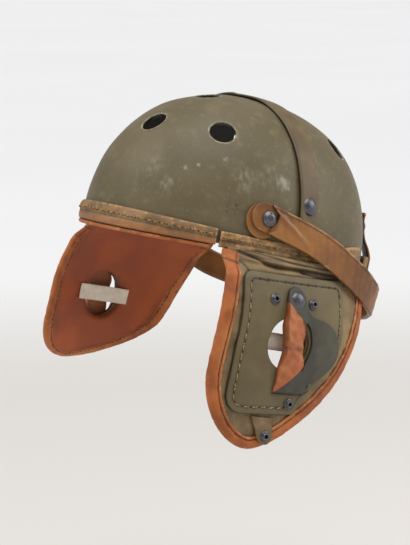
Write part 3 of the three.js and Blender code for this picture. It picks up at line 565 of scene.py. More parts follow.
SCUFFS = (Scuff(0.896, -0.24, 0.451, 13, 1.0), Scuff(0.856, -0.343, 0.477, 24, 0.5),
          Scuff(0.811, -0.492, 0.422, 24, 0.55), Scuff(0.309, -0.902, 0.39, 21, 0.5),
          Scuff(0.455, -0.872, 0.298, 20, 0.55), Scuff(0.683, -0.591, 0.527, 5, 1.0),
          Scuff(0.581, -0.734, 0.46, 3, 1.0), Scuff(0.517, -0.793, 0.428, 5, 0.7),
          Scuff(0.017, -0.997, 0.098, 9, 0.6), Scuff(-0.7, -0.4, 0.5, 16, 0.6),
          Scuff(-0.5, 0.75, 0.4, 20, 0.6), Scuff(0.35, 0.86, 0.35, 15, 0.5), Scuff(0.1, 0.1, 0.98, 16, 0.5))
INK_SPOT = Scuff(0.828, -0.56, 0.232, 11, 1.0)


class Finishes:
    """Every material of the helmet, named for what the real one is."""

    def __init__(self) -> None:
        """Makes the materials and keeps the record's slot of each."""
        painted = Leather("olive_painted_leather", "painted_leather", base="#8A7350", dark="#735D41",
                          light="#987F57", worn="#9C784E", flesh="#B5683A", roughness=0.62,
                          grain_depth=0.14, wear_from=0.62)
        plate = Leather("olive_plate_leather", "painted_leather", base="#706244", dark="#65583C",
                        light="#7A6A4A", worn="#937B52", flesh="#B5683A", roughness=0.6,
                        grain=0.7, grain_depth=0.07, wear_from=0.85, mottle=22)
        crown = Leather("olive_crown_leather", "painted_leather", base="#736241", dark="#635035",
                        light="#7E6A48", worn="#926A41", flesh="#B5683A", roughness=0.52,
                        grain_depth=0.1, wear_from=0.75, mottle=24)
        band = Leather("rubbed_band_leather", "painted_leather", base="#977349", dark="#785D3D",
                       light="#A58357", worn="#BF8F5C", flesh="#9C6A42", roughness=0.58,
                       grain_depth=0.16, wear_from=0.5)
        tan = Leather("tan_binding_leather", "tan_leather", base="#B9672F", dark="#985024",
                      light="#C7793F", worn="#CF8C54", flesh="#B5683A", roughness=0.6,
                      grain_depth=0.13, wear_from=0.6, mottle=18)
        inside = Leather("tan_lining_leather", "tan_leather", base="#AC4F18", dark="#963F12",
                         light="#B8591E", worn="#B9662A", flesh="#B5683A", roughness=0.55,
                         grain_depth=0.08, wear_from=0.8, mottle=40)
        saddle = Leather("saddle_strap_leather", "strap_leather", base="#8C5B2E", dark="#744A25",
                         light="#A06A36", worn="#B58A62", flesh="#A8673A", roughness=0.4,
                         grain=0.8, grain_depth=0.07, wear_from=0.62, mottle=26)
        keeper = Leather("greygreen_keeper_leather", "keeper_leather", base="#494639", dark="#3E3C31",
                         light="#555143", worn="#7A7763", flesh="#AE6236", roughness=0.55,
                         grain=0.7, grain_depth=0.06, wear_from=0.9, mottle=12)
        leathers = (crown, painted, plate, band, tan, inside, saddle, keeper)
        self.crown, self.painted, self.plate, self.band, self.tan, self.inside, self.saddle, self.keeper = (
            (leather.material(), leather.slot) for leather in leathers)
        self.shell = (self._shell_paint(), "shell_paint")
        self.lip = (self._vent_lip(), "shell_paint")
        self.metal = (self._gunmetal(), "gunmetal")
        self.tape = (self._cotton(), "cotton_tape")
        self.thread = (self._thread("pale_thread", "#C0A878"), "painted_leather")
        self.gold_thread = (self._thread("gold_thread", "#B98F55"), "painted_leather")
        self.dark_thread = (self._thread("dark_thread", "#4A3722"), "painted_leather")
        # Painted shade: near-black discs stand for the shade in the needle holes.
        self.hole = (self._thread("needle_hole", "#120E0A"), "painted_leather")

    @staticmethod
    def _shell_paint() -> bpy.types.Material:
        """Eggshell olive drab over pressed fibre: faint mottling, pale scuffs and a few dark marks.

        Returns:
            The material.
        """
        shades = Shades("olive_drab_paint")
        broad = shades.noise(60, 3)
        blotch = shades.noise(9, 5, offset=30)
        colour = shades.mix(shades.between(broad, 0.35, 0.68), "#61563A", "#6D6145")
        colour = shades.mix(shades.between(blotch, 0.5, 0.8), colour, "#776B4E")
        streaks = shades.noise(4.0, 5, stretch=(1.2, 1, 0.5), offset=11)
        flecks = shades.between(shades.noise(1.3, 3, offset=70), 0.63, 0.7)
        rubbed = 0.0
        for scuff in SCUFFS:
            patch = shades.maths("MULTIPLY", shades.near(scuff.spot, scuff.radius), scuff.strength)
            rubbed = shades.maths("MAXIMUM", rubbed, patch)
        torn = shades.maths("ADD", rubbed, shades.maths("MULTIPLY_ADD", streaks, 2.2, -1.1))
        torn = shades.maths("MULTIPLY", shades.between(torn, 0.15, 1.25), shades.between(rubbed, 0.0, 0.7))
        lines = shades.between(shades.noise(7, 2, stretch=(6, 0.35, 1), offset=23), 0.7, 0.74)
        lines = shades.maths("MULTIPLY", lines, 0.4)
        colour = shades.mix(shades.maths("MULTIPLY", flecks, 0.5), colour, "#8F876C")
        colour = shades.mix(lines, colour, "#8F876C")
        colour = shades.mix(shades.maths("MULTIPLY", torn, 0.8), colour, "#A29C88")
        colour = shades.mix(shades.maths("MULTIPLY", shades.mark(Mark.WEAR), 0.7), colour, "#9A9073")
        near_ink = shades.near(INK_SPOT.spot, INK_SPOT.radius)
        veins = shades.noise(4.2, 2, stretch=(1, 1, 0.6), offset=4)
        strokes = shades.maths("MULTIPLY", shades.between(veins, 0.47, 0.5),
                               shades.between(veins, 0.55, 0.52))
        ink = shades.maths("MULTIPLY", shades.maths("MULTIPLY", strokes, near_ink), 0.8)
        colour = shades.mix(ink, colour, "#2E3230")
        # Dirt near the rim, and painted shade inside the shell and low behind the bands, darken the paint
        # towards near black.
        dirt = shades.maths("POWER", shades.mark(Mark.DIRT), 1.5)
        colour = shades.mix(shades.maths("MULTIPLY", dirt, 0.97), colour, "#120F0A")
        gloss = shades.maths("MULTIPLY_ADD", blotch, 0.2, 0.4)
        height = shades.maths("MULTIPLY_ADD", shades.noise(18, 3, offset=9), 2.5, shades.noise(1.1, 3))
        return shades.finish(colour, gloss, height, 0.06, Specular_IOR_Level=0.4)

    @staticmethod
    def _vent_lip() -> bpy.types.Material:
        """Paint rubbed thin on a vent's edge, with painted shade dark inside it.

        Returns:
            The material.
        """
        shades = Shades("rubbed_vent_lip")
        grey = shades.mix(shades.between(shades.noise(3, 4), 0.4, 0.62), "#6D654B", "#A39A80")
        colour = shades.mix(shades.mark(Mark.DIRT), grey, "#16130D")
        return shades.finish(colour, 0.5, shades.noise(1.5, 3), 0.05)

    @staticmethod
    def _gunmetal() -> bpy.types.Material:
        """Dark oxidised steel: metal keeps its default index, and only its patina varies.

        Returns:
            The material.
        """
        shades = Shades("gunmetal_caps")
        blotch = shades.noise(2.4, 4)
        colour = shades.mix(shades.between(blotch, 0.35, 0.7), "#55545A", "#66646B")
        colour = shades.mix(shades.mark(Mark.DIRT), colour, "#0E0D0C")
        colour = shades.mix(shades.maths("MULTIPLY", shades.mark(Mark.WEAR), 0.6), colour, "#8C8E90")
        gloss = shades.maths("MULTIPLY_ADD", blotch, 0.1, 0.28)
        return shades.finish(colour, gloss, shades.noise(0.9, 3), 0.02, Metallic=0.8)

    @staticmethod
    def _cotton() -> bpy.types.Material:
        """Plain woven cotton tape, its colour lightened to near white as painted light: its threads cross
        about every 0.6 mm.

        Returns:
            The material.
        """
        shades = Shades("woven_cotton_tape")
        wave = {"wave_type": "BANDS", "Scale": 1.6 / math.pi, "Distortion": 0.6}
        over = add_node(shades.tree, "ShaderNodeTexWave", {**wave, "bands_direction": "Z"},
                        {"Vector": shades.place}).outputs["Fac"]
        under = add_node(shades.tree, "ShaderNodeTexWave", {**wave, "bands_direction": "Y"},
                         {"Vector": shades.place}).outputs["Fac"]
        weave = shades.maths("MULTIPLY", over, under)
        # Painted light: near-white colours, lighter than the cotton, stand in for light on the tape where it
        # lies in shade.
        colour = shades.mix(shades.between(shades.noise(6, 3), 0.35, 0.7), "#F6E6CF", "#FFF3E2")
        colour = shades.mix(shades.maths("MULTIPLY", shades.mark(Mark.DIRT), 0.6), colour, "#7A5A42")
        return shades.finish(colour, 0.9, weave, 0.12, Sheen_Weight=0.2)

    @staticmethod
    def _thread(name: str, colour: str) -> bpy.types.Material:
        """Waxed linen thread, or the painted shade of a needle hole.

        Args:
            name: the material's name.
            colour: its colour in sRGB.

        Returns:
            The material.
        """
        shades = Shades(name)
        tint = shades.mix(shades.between(shades.noise(1.2, 3), 0.3, 0.7), colour, "#3A2F1E")
        return shades.finish(tint, 0.75, shades.noise(0.35, 2, stretch=(1, 3, 1)), 0.05)


def weld(mesh: bpy.types.Mesh) -> None:
    """Joins points that coincide and turns the faces outwards.

    Args:
        mesh: the mesh to mend.
    """
    work = bmesh.new()
    work.from_mesh(mesh)
    bmesh.ops.remove_doubles(work, verts=work.verts, dist=WELD_DISTANCE)
    bmesh.ops.recalc_face_normals(work, faces=work.faces)
    work.to_mesh(mesh)
    work.free()


def add_piece(name: str, points: Array, faces: list, finish: Finish,
              nodes: Sequence[str] = (), marks: Marks | None = None) -> bpy.types.Object:
    """Adds one mesh and hands it to the frame.

    Args:
        name: the piece's name.
        points: its points in the helmet's own frame.
        faces: its faces, as lists of point numbers.
        finish: its material and the record's slot.
        nodes: the solids that it stands for.
        marks: values by Mark, one for each point.

    Returns:
        The piece.
    """
    mesh = bpy.data.meshes.new(name)
    mesh.from_pydata(worn(points.reshape(-1, 3)).tolist(), [], faces)
    for mark, values in (marks or {}).items():
        layer = mesh.attributes.new(mark.value, "FLOAT", "POINT")
        layer.data.foreach_set("value", np.clip(values, 0, 1).astype(np.float32).ravel())
    weld(mesh)
    mesh.shade_smooth()
    piece = bpy.data.objects.new(name, mesh)
    bpy.context.collection.objects.link(piece)
    mesh.materials.append(finish[0])
    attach(piece, "root")
    if nodes:
        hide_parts(*nodes)
    LOG.info("%s: %d faces", name, len(mesh.polygons))
    return piece


def grid_faces(rows: int, columns: int, loop_rows: bool, loop_columns: bool, caps: bool) -> list:
    """The quads of a grid of points, and its two end faces.

    Args:
        rows: the grid's rows.
        columns: the grid's columns.
        loop_rows: whether the last row joins the first.
        loop_columns: whether the last column joins the first.
        caps: whether the end rows are closed.

    Returns:
        The faces, as lists of point numbers.
    """
    faces = []
    for row in range(rows if loop_rows else rows - 1):
        below = (row + 1) % rows
        for column in range(columns if loop_columns else columns - 1):
            after = (column + 1) % columns
            faces.append([row * columns + column, row * columns + after,
                          below * columns + after, below * columns + column])
    if caps:
        faces.append(list(range(columns)))
        faces.append(list(range((rows - 1) * columns, rows * columns)))
    return faces


def loft(name: str, rings: Array, finish: Finish, nodes: Sequence[str] = (),
         marks: Marks | None = None, joined: bool = False, open_rings: bool = False) -> bpy.types.Object:
    """Adds a body through rings of points.

    Args:
        name: the piece's name.
        rings: its points, ring by ring.
        finish: its material and the record's slot.
        nodes: the solids that it stands for.
        marks: values by Mark, one for each point.
        joined: whether the last ring joins the first.
        open_rings: whether each ring stays open.

    Returns:
        The piece.
    """
    rows, columns = rings.shape[:2]
    faces = grid_faces(rows, columns, joined, not open_rings, not joined and not open_rings)
    return add_piece(name, rings, faces, finish, nodes, marks)


def turned(name: str, profile: tuple, radius: float, seat: Array, axis: Array, finish: Finish,
           nodes: Sequence[str] = (), sides: int = 40) -> bpy.types.Object:
    """Adds a turned body.

    Args:
        name: the piece's name.
        profile: rows of: out and up as shares of the radius, wear, dirt and painted shade.
        radius: its radius in mm.
        seat: the middle of its foot.
        axis: where it points.
        finish: its material and the record's slot.
        nodes: the solids that it stands for.
        sides: how many sides it has.

    Returns:
        The piece.
    """
    profile = np.asarray(profile, float)
    axis = unit(axis)
    side = unit(np.cross(axis, (0.3, 0.1, 1.0)))
    other = np.cross(axis, side)
    angle = np.linspace(0, 2 * math.pi, sides, endpoint=False)[:, None, None]
    out = profile[None, :, 0, None] * radius
    rings = (seat + out * (np.cos(angle) * side + np.sin(angle) * other)
             + profile[None, :, 1, None] * radius * axis)
    marks = {Mark.WEAR: np.tile(profile[:, 2], sides), Mark.DIRT: np.tile(profile[:, 3], sides)}
    return loft(name, rings, finish, nodes, marks, joined=True, open_rings=True)


# Turned profiles, as rows of: out and up as shares of the radius, wear, dirt and painted shade.
CAP_PROFILE = ((0, 0, 0, 0), (0.97, 0, 0, 0.6), (1.0, 0.05, 0.3, 0.2), (0.98, 0.1, 0.5, 0),
               (0.9, 0.19, 0.2, 0), (0.78, 0.28, 0.1, 0), (0.6, 0.37, 0, 0), (0.4, 0.43, 0, 0),
               (0.2, 0.455, 0, 0), (0, 0.46, 0, 0))
WORN_CAP_PROFILE = ((0, 0, 0, 0), (0.95, 0, 0, 0.8), (1.0, 0.07, 0.4, 0), (0.9, 0.2, 0.6, 0),
                    (0.72, 0.24, 0.3, 0), (0.7, 0.3, 0.3, 0), (0.58, 0.42, 0.5, 0), (0.3, 0.45, 0.2, 0),
                    (0, 0.44, 0.1, 0))
STUD_PROFILE = ((0, 0, 0, 0), (0.98, 0, 0, 0.5), (1.0, 0.1, 0.4, 0), (0.93, 0.22, 0.2, 0),
                (0.72, 0.27, 0, 0.4), (0.64, 0.34, 0, 0.2), (0.62, 0.54, 0.3, 0), (0.52, 0.64, 0.5, 0),
                (0.42, 0.62, 0.3, 0.1), (0.34, 0.5, 0, 0.8), (0.32, 0.26, 0, 1), (0, 0.2, 0, 1))
WASHER_PROFILE = ((0, 0, 0, 0), (0.97, 0, 0.3, 0.5), (1.0, 0.04, 0.5, 0.2), (0.995, 0.075, 0.6, 0),
                  (0.97, 0.1, 0.5, 0.7), (1.0, 0.115, 0.6, 0.3), (0.985, 0.128, 0.8, 0),
                  (0.95, 0.129, 0.4, 0), (0, 0.129, 0, 0))


@dataclass(frozen=True)
class Seam:
    """A row of stitches: pitch, stitch length, thread radius and hole radius in mm, slant in degrees."""

    pitch: float = 4.2
    length: float = 2.9
    radius: float = 0.42
    slant: float = 0.0
    hole: float = 0.45

    def sew(self, name: str, line: Array, normals: Array, thread: Finish, hole: Finish) -> None:
        """Adds the stitches, and dark discs of painted shade at their needle holes.

        Args:
            name: what the two pieces' names begin with.
            line: points of the seam, on its surface.
            normals: the surface's direction at each.
            thread: the finish of the stitches.
            hole: the finish of the holes' painted shade.
        """
        length = np.linalg.norm(np.diff(line, axis=0), axis=1).sum()
        count = max(int(round(length / self.pitch)), 2)
        both = along_line(np.hstack([line, normals]), 2 * count + 1)
        centres, outs = both[1::2, :3], unit(both[1::2, 3:])
        ends = both[::2, :3]
        runs = unit(ends[1:] - ends[:-1])
        sides = unit(np.cross(outs, runs))
        turn = math.radians(self.slant)
        runs, sides = (runs * math.cos(turn) + sides * math.sin(turn),
                       sides * math.cos(turn) - runs * math.sin(turn))
        spread = np.linspace(-1, 1, 7)
        thin = np.sqrt(np.maximum(1 - spread**2, 0)) ** 0.7
        angle = np.linspace(0, 2 * math.pi, 6, endpoint=False)
        rng = np.random.default_rng(len(name))
        slack = rng.uniform(0.85, 1.1, count)[:, None, None, None]
        body = (centres[:, None, None]
                + runs[:, None, None] * (spread[:, None, None] * slack * self.length / 2)
                + sides[:, None, None] * (self.radius * thin[:, None] * np.cos(angle))[..., None]
                + outs[:, None, None] * (self.radius * thin[:, None] * (np.sin(angle) + 0.35))[..., None])
        faces, step = [], spread.size * angle.size
        for at in range(count):
            faces += [[at * step + corner for corner in face]
                      for face in grid_faces(spread.size, angle.size, False, True, False)]
        add_piece(f"{name}_thread", body, faces, thread)
        # Painted shade: a dark disc at the end of each stitch stands for its needle hole.
        around = np.linspace(0, 2 * math.pi, 8, endpoint=False)[:, None]
        ways, across, lifts = (np.concatenate([rows, rows[-1:]])[:, None] for rows in (runs, sides, outs))
        discs = (ends[:, None] + self.hole * (np.cos(around) * ways + 1.25 * np.sin(around) * across)
                 + 0.12 * lifts)
        add_piece(f"{name}_holes", discs, [list(range(at * 8, at * 8 + 8)) for at in range(len(ends))], hole)


def offset_line(line: Array, inset: float, closed: bool = False) -> Array:
    """Moves a flat line sideways.

    Args:
        line: its points.
        inset: how far it moves to its left.
        closed: whether it returns to its start.

    Returns:
        The moved line.
    """
    before = np.roll(line, 1, axis=0) if closed else np.vstack([line[:1], line[:-1]])
    after = np.roll(line, -1, axis=0) if closed else np.vstack([line[1:], line[-1:]])
    run = unit(after - before)
    return line + inset * np.stack([-run[:, 1], run[:, 0]], -1)


@dataclass
class Shell:
    """The painted shell with its vents, sizes in mm."""

    finishes: Finishes
    vent_diameter: float = 22.0
    sides: int = 260
    rows: int = 84
    inner_rows: int = 30
    lip_sides: int = 72

    def build(self) -> None:
        """Builds the shell and the lip of each vent."""
        angle = np.linspace(0, 2 * math.pi, self.sides, endpoint=False)[:, None]
        outer = self._profile(angle, 0.0, self.rows)
        outer += dome_normal(outer) * 0.22 * ripple(outer, 46, 5)[..., None]
        inner = self._profile(angle, -SHELL_WALL, self.inner_rows)
        rim = [wall_point(angle, 0.0, off) + np.array([0, 0, up])
               for off, up in ((0, 0.9), (-0.5, 0.25), (-1.2, 0), (-2.2, 0), (-2.8, 0.4))]
        rings = np.concatenate([outer[:, :0:-1], *rim, inner[:, 1:]], axis=1)
        piece = loft("shell_paint", rings, self.finishes.shell, ["shell"], joined=True, open_rings=True)
        self._pierce(piece)
        self._mark(piece.data)
        for number, vent in enumerate(VENTS):
            self._lip(number, vent)

    @staticmethod
    def _profile(angle: Array, offset: float, rows: int) -> Array:
        """Points from the rim up to the crown.

        Args:
            angle: where round the rim.
            offset: how far off the wall.
            rows: how many points.

        Returns:
            The points, a row for each angle.
        """
        rise = (np.linspace(0, 1, rows)[None] ** 1.15) * math.pi / 2
        height = (SHELL_HEIGHT + offset) * np.sin(rise) ** (2 / PROFILE_ROUNDNESS)
        return wall_point(angle, np.minimum(height, SHELL_HEIGHT + offset), offset)

    @staticmethod
    def _axis(vent: tuple) -> tuple:
        """A vent's middle and its direction.

        Args:
            vent: across and along, as shares.

        Returns:
            The two of them.
        """
        across, along = vent[0] * HALF_WIDTH, vent[1] * HALF_LENGTH
        centre = np.array([across, along, dome_height(across, along)])
        return centre, dome_normal(centre)

    def _pierce(self, piece: bpy.types.Object) -> None:
        """Cuts the vents.

        Args:
            piece: the shell.
        """
        work = bmesh.new()
        for vent in VENTS:
            centre, normal = self._axis(vent)
            ends = worn(np.stack([centre, centre + normal]))
            turn = Vector(ends[1] - ends[0]).to_track_quat("Z", "Y").to_matrix().to_4x4()
            radius = self.vent_diameter / 2 * MM
            bmesh.ops.create_cone(work, cap_ends=True, segments=56, radius1=radius, radius2=radius,
                                  depth=2 * radius, matrix=Matrix.Translation(Vector(ends[0])) @ turn)
        drill = bpy.data.objects.new("vent_drill", bpy.data.meshes.new("vent_drill"))
        work.to_mesh(drill.data)
        work.free()
        bpy.context.collection.objects.link(drill)
        cut = piece.modifiers.new("vents", "BOOLEAN")
        cut.object, cut.operation, cut.solver = drill, "DIFFERENCE", "EXACT"
        shown = piece.evaluated_get(bpy.context.evaluated_depsgraph_get())
        pierced = bpy.data.meshes.new_from_object(shown)
        piece.modifiers.clear()
        piece.data = pierced
        pierced.shade_smooth()
        pierced.set_sharp_from_angle(angle=math.radians(40))
        bpy.data.objects.remove(drill)

    def _mark(self, mesh: bpy.types.Mesh) -> None:
        """Marks the worn vents, the dirt and painted shade near the rim, and painted shade inside.

        Args:
            mesh: the pierced shell's mesh.
        """
        place = np.zeros(len(mesh.vertices) * 3)
        mesh.vertices.foreach_get("co", place)
        place = place.reshape(-1, 3)
        wear = np.zeros(len(place))
        for vent in VENTS:
            away = np.linalg.norm(place - worn(self._axis(vent)[0]), axis=1) / MM
            wear = np.maximum(wear, 0.45 * bump(away - self.vent_diameter / 2, 1.3))
        turn = math.radians(WORN_TILT)
        level = (place[:, 1] * math.sin(turn) + place[:, 2] * math.cos(turn)) / MM
        ahead = (place[:, 1] * math.cos(turn) - place[:, 2] * math.sin(turn)) / MM
        plan = (np.abs(place[:, 0] / MM / (HALF_WIDTH - 1)) ** PLAN_ROUNDNESS
                + np.abs(ahead / (HALF_LENGTH - 1)) ** PLAN_ROUNDNESS)
        deep = (plan ** (PROFILE_ROUNDNESS / PLAN_ROUNDNESS)
                + np.abs(level / (SHELL_HEIGHT - 1)) ** PROFILE_ROUNDNESS)
        # Darker towards the rim, dirt and painted shade; near black on the inner face, and darker still low
        # behind the bands, as painted shade.
        dirt = 0.35 * smooth(20, 8, level) * (0.7 + 0.3 * ripple(place / MM, 14, 8)) + (deep < 1)
        dirt = dirt + 0.4 * smooth(12, 7, level)
        for mark, values in ((Mark.WEAR, wear), (Mark.DIRT, dirt)):
            layer = mesh.attributes.new(mark.value, "FLOAT", "POINT")
            layer.data.foreach_set("value", np.clip(values, 0, 1).astype(np.float32))

    def _lip(self, number: int, vent: tuple) -> None:
        """Adds a vent's rounded lip.

        Args:
            number: its place in the table.
            vent: across and along, as shares.
        """
        centre, normal = self._axis(vent)
        side = unit(np.cross(normal, (0.2, 1.0, 0.1)))
        other = np.cross(normal, side)
        angle = np.linspace(0, 2 * math.pi, self.lip_sides, endpoint=False)[:, None, None]
        # How far out, how far up, and painted shade, near black inside the vent.
        rows = ((12.2, 0.02, 0), (11.6, 0.22, 0), (11.1, 0.12, 0), (10.85, -0.3, 0.2), (10.75, -0.9, 0.9),
                (10.75, -2.7, 1), (10.9, -3.1, 1), (11.4, -3.15, 1))
        out = np.array([row[0] for row in rows])[None, :, None]
        points = centre + out * (np.cos(angle) * side + np.sin(angle) * other)
        for _ in range(4):
            gap = dome_height(points[..., 0], points[..., 1]) - points[..., 2]
            points = points + normal * (gap * normal[2])[..., None]
        points = points + normal * np.array([row[1] for row in rows])[None, :, None]
        dirt = np.tile([row[2] for row in rows], self.lip_sides)
        loft(f"vent_lip_{number}", points, self.finishes.lip, marks={Mark.DIRT: dirt}, joined=True,
             open_rings=True)


def ribbon_section(thickness: float, edge: float, count: int) -> Array:
    """A strap's section, its upper edges rounded.

    Args:
        thickness: the strap's thickness in mm.
        edge: the rounding's radius in mm.
        count: how many points its face has.

    Returns:
        Rows of: across as a share of the half width, inset from it, and how far off.
    """
    rows = [(s, 0.0, 0.0) for s in np.linspace(-1, 1, max(count // 3, 4))]
    arc = np.linspace(0, math.pi / 2, 4)
    rows += [(1, edge * (1 - math.cos(a)), thickness - edge + edge * math.sin(a)) for a in arc]
    rows += [(s, edge, thickness) for s in np.linspace(1, -1, count)[1:-1]]
    rows += [(-1, edge * (1 - math.cos(a)), thickness - edge + edge * math.sin(a)) for a in arc[::-1]]
    return np.array(rows)


@dataclass
class CrownStrap:
    """The painted leather strap over the crown and its two rivets, sizes in mm."""

    finishes: Finishes
    width: float = 20.0
    thickness: float = 2.0
    along: float = -6.0
    end_height: float = 26.0
    rivet_height: float = 42.0
    rivet_diameter: float = 15.0

    def build(self) -> None:
        """Builds the strap, then a rivet at each end."""
        first = math.asin((self.end_height / SHELL_HEIGHT) ** (PROFILE_ROUNDNESS / 2))
        turn = np.linspace(first, math.pi - first, 220)[:, None]
        section = ribbon_section(self.thickness, 0.9, 20)
        to_end = np.minimum(turn - first, math.pi - first - turn)
        half = self.width / 2 - 1.6 * bump(to_end, 0.012)
        across = section[None, :, 0] * (half - section[None, :, 1])
        raised = section[None, :, 2] > 1
        lift = 0.35 * (1 + ripple(np.stack(np.broadcast_arrays(turn * 100, across), -1), 42, 3))
        edge_lift = 0.9 * bump((turn - first) * 100, 40) * smooth(0, -8, across)
        offset = CLEARANCE + section[None, :, 2] + lift + edge_lift
        crown_step = 0.7 * smooth(1.60, 1.63, turn) * raised
        rings = self._point(turn, across, offset + crown_step)
        near_edge = np.exp(-(half - np.abs(across)) / 1.1)
        ends = bump(to_end * 100, 22)
        wear = 0.55 * near_edge + 0.55 * ends * smooth(2, 9, across)
        # Painted shade under the strap, and a painted shadow line along its raised front edge.
        dirt = (section[None, :, 2] < 1.2) * 0.9 + 0.5 * bump(across + 8.2, 0.6) + 0 * turn
        marks = {Mark.WEAR: wear + 0 * across, Mark.DIRT: dirt + 0 * across}
        loft("crown_leather_strap", rings, self.finishes.crown, ["crown_strap"], marks)
        place = math.asin((self.rivet_height / SHELL_HEIGHT) ** (PROFILE_ROUNDNESS / 2))
        for side in Side:
            top = np.array(2 * CLEARANCE + self.thickness)
            seat = self._point(np.array(place), np.array(0.0), top)
            axis = dome_normal(seat)
            flip = np.array([side.value, 1, 1])
            turned(f"crown_cap_{side.label}", CAP_PROFILE, self.rivet_diameter / 2, seat * flip,
                   axis * flip, self.finishes.metal, [f"crown_rivet_{side.label}"])

    def _point(self, turn: Array, across: Array, offset: Array) -> Array:
        """A point of the strap.

        Args:
            turn: its angle over the crown.
            across: how far from the strap's middle.
            offset: how far off the shell.

        Returns:
            The point, or an array of points.
        """
        along = self.along + across
        top = dome_height(0 * along, along, offset)
        height = top * fullness(np.sin(turn), 2 / PROFILE_ROUNDNESS)
        share = (plan_share(height, offset) ** PLAN_ROUNDNESS
                 - np.abs(along / (HALF_LENGTH + offset)) ** PLAN_ROUNDNESS)
        reach = (HALF_WIDTH + offset) * np.maximum(share, 0) ** (1 / PLAN_ROUNDNESS)
        return np.stack(np.broadcast_arrays(np.sign(np.cos(turn)) * reach, along, height), -1)


def brow_share(angle: Number) -> Number:
    """How far round to the front a place on the rim is."""
    return np.maximum(-np.sin(angle), 0) ** 2


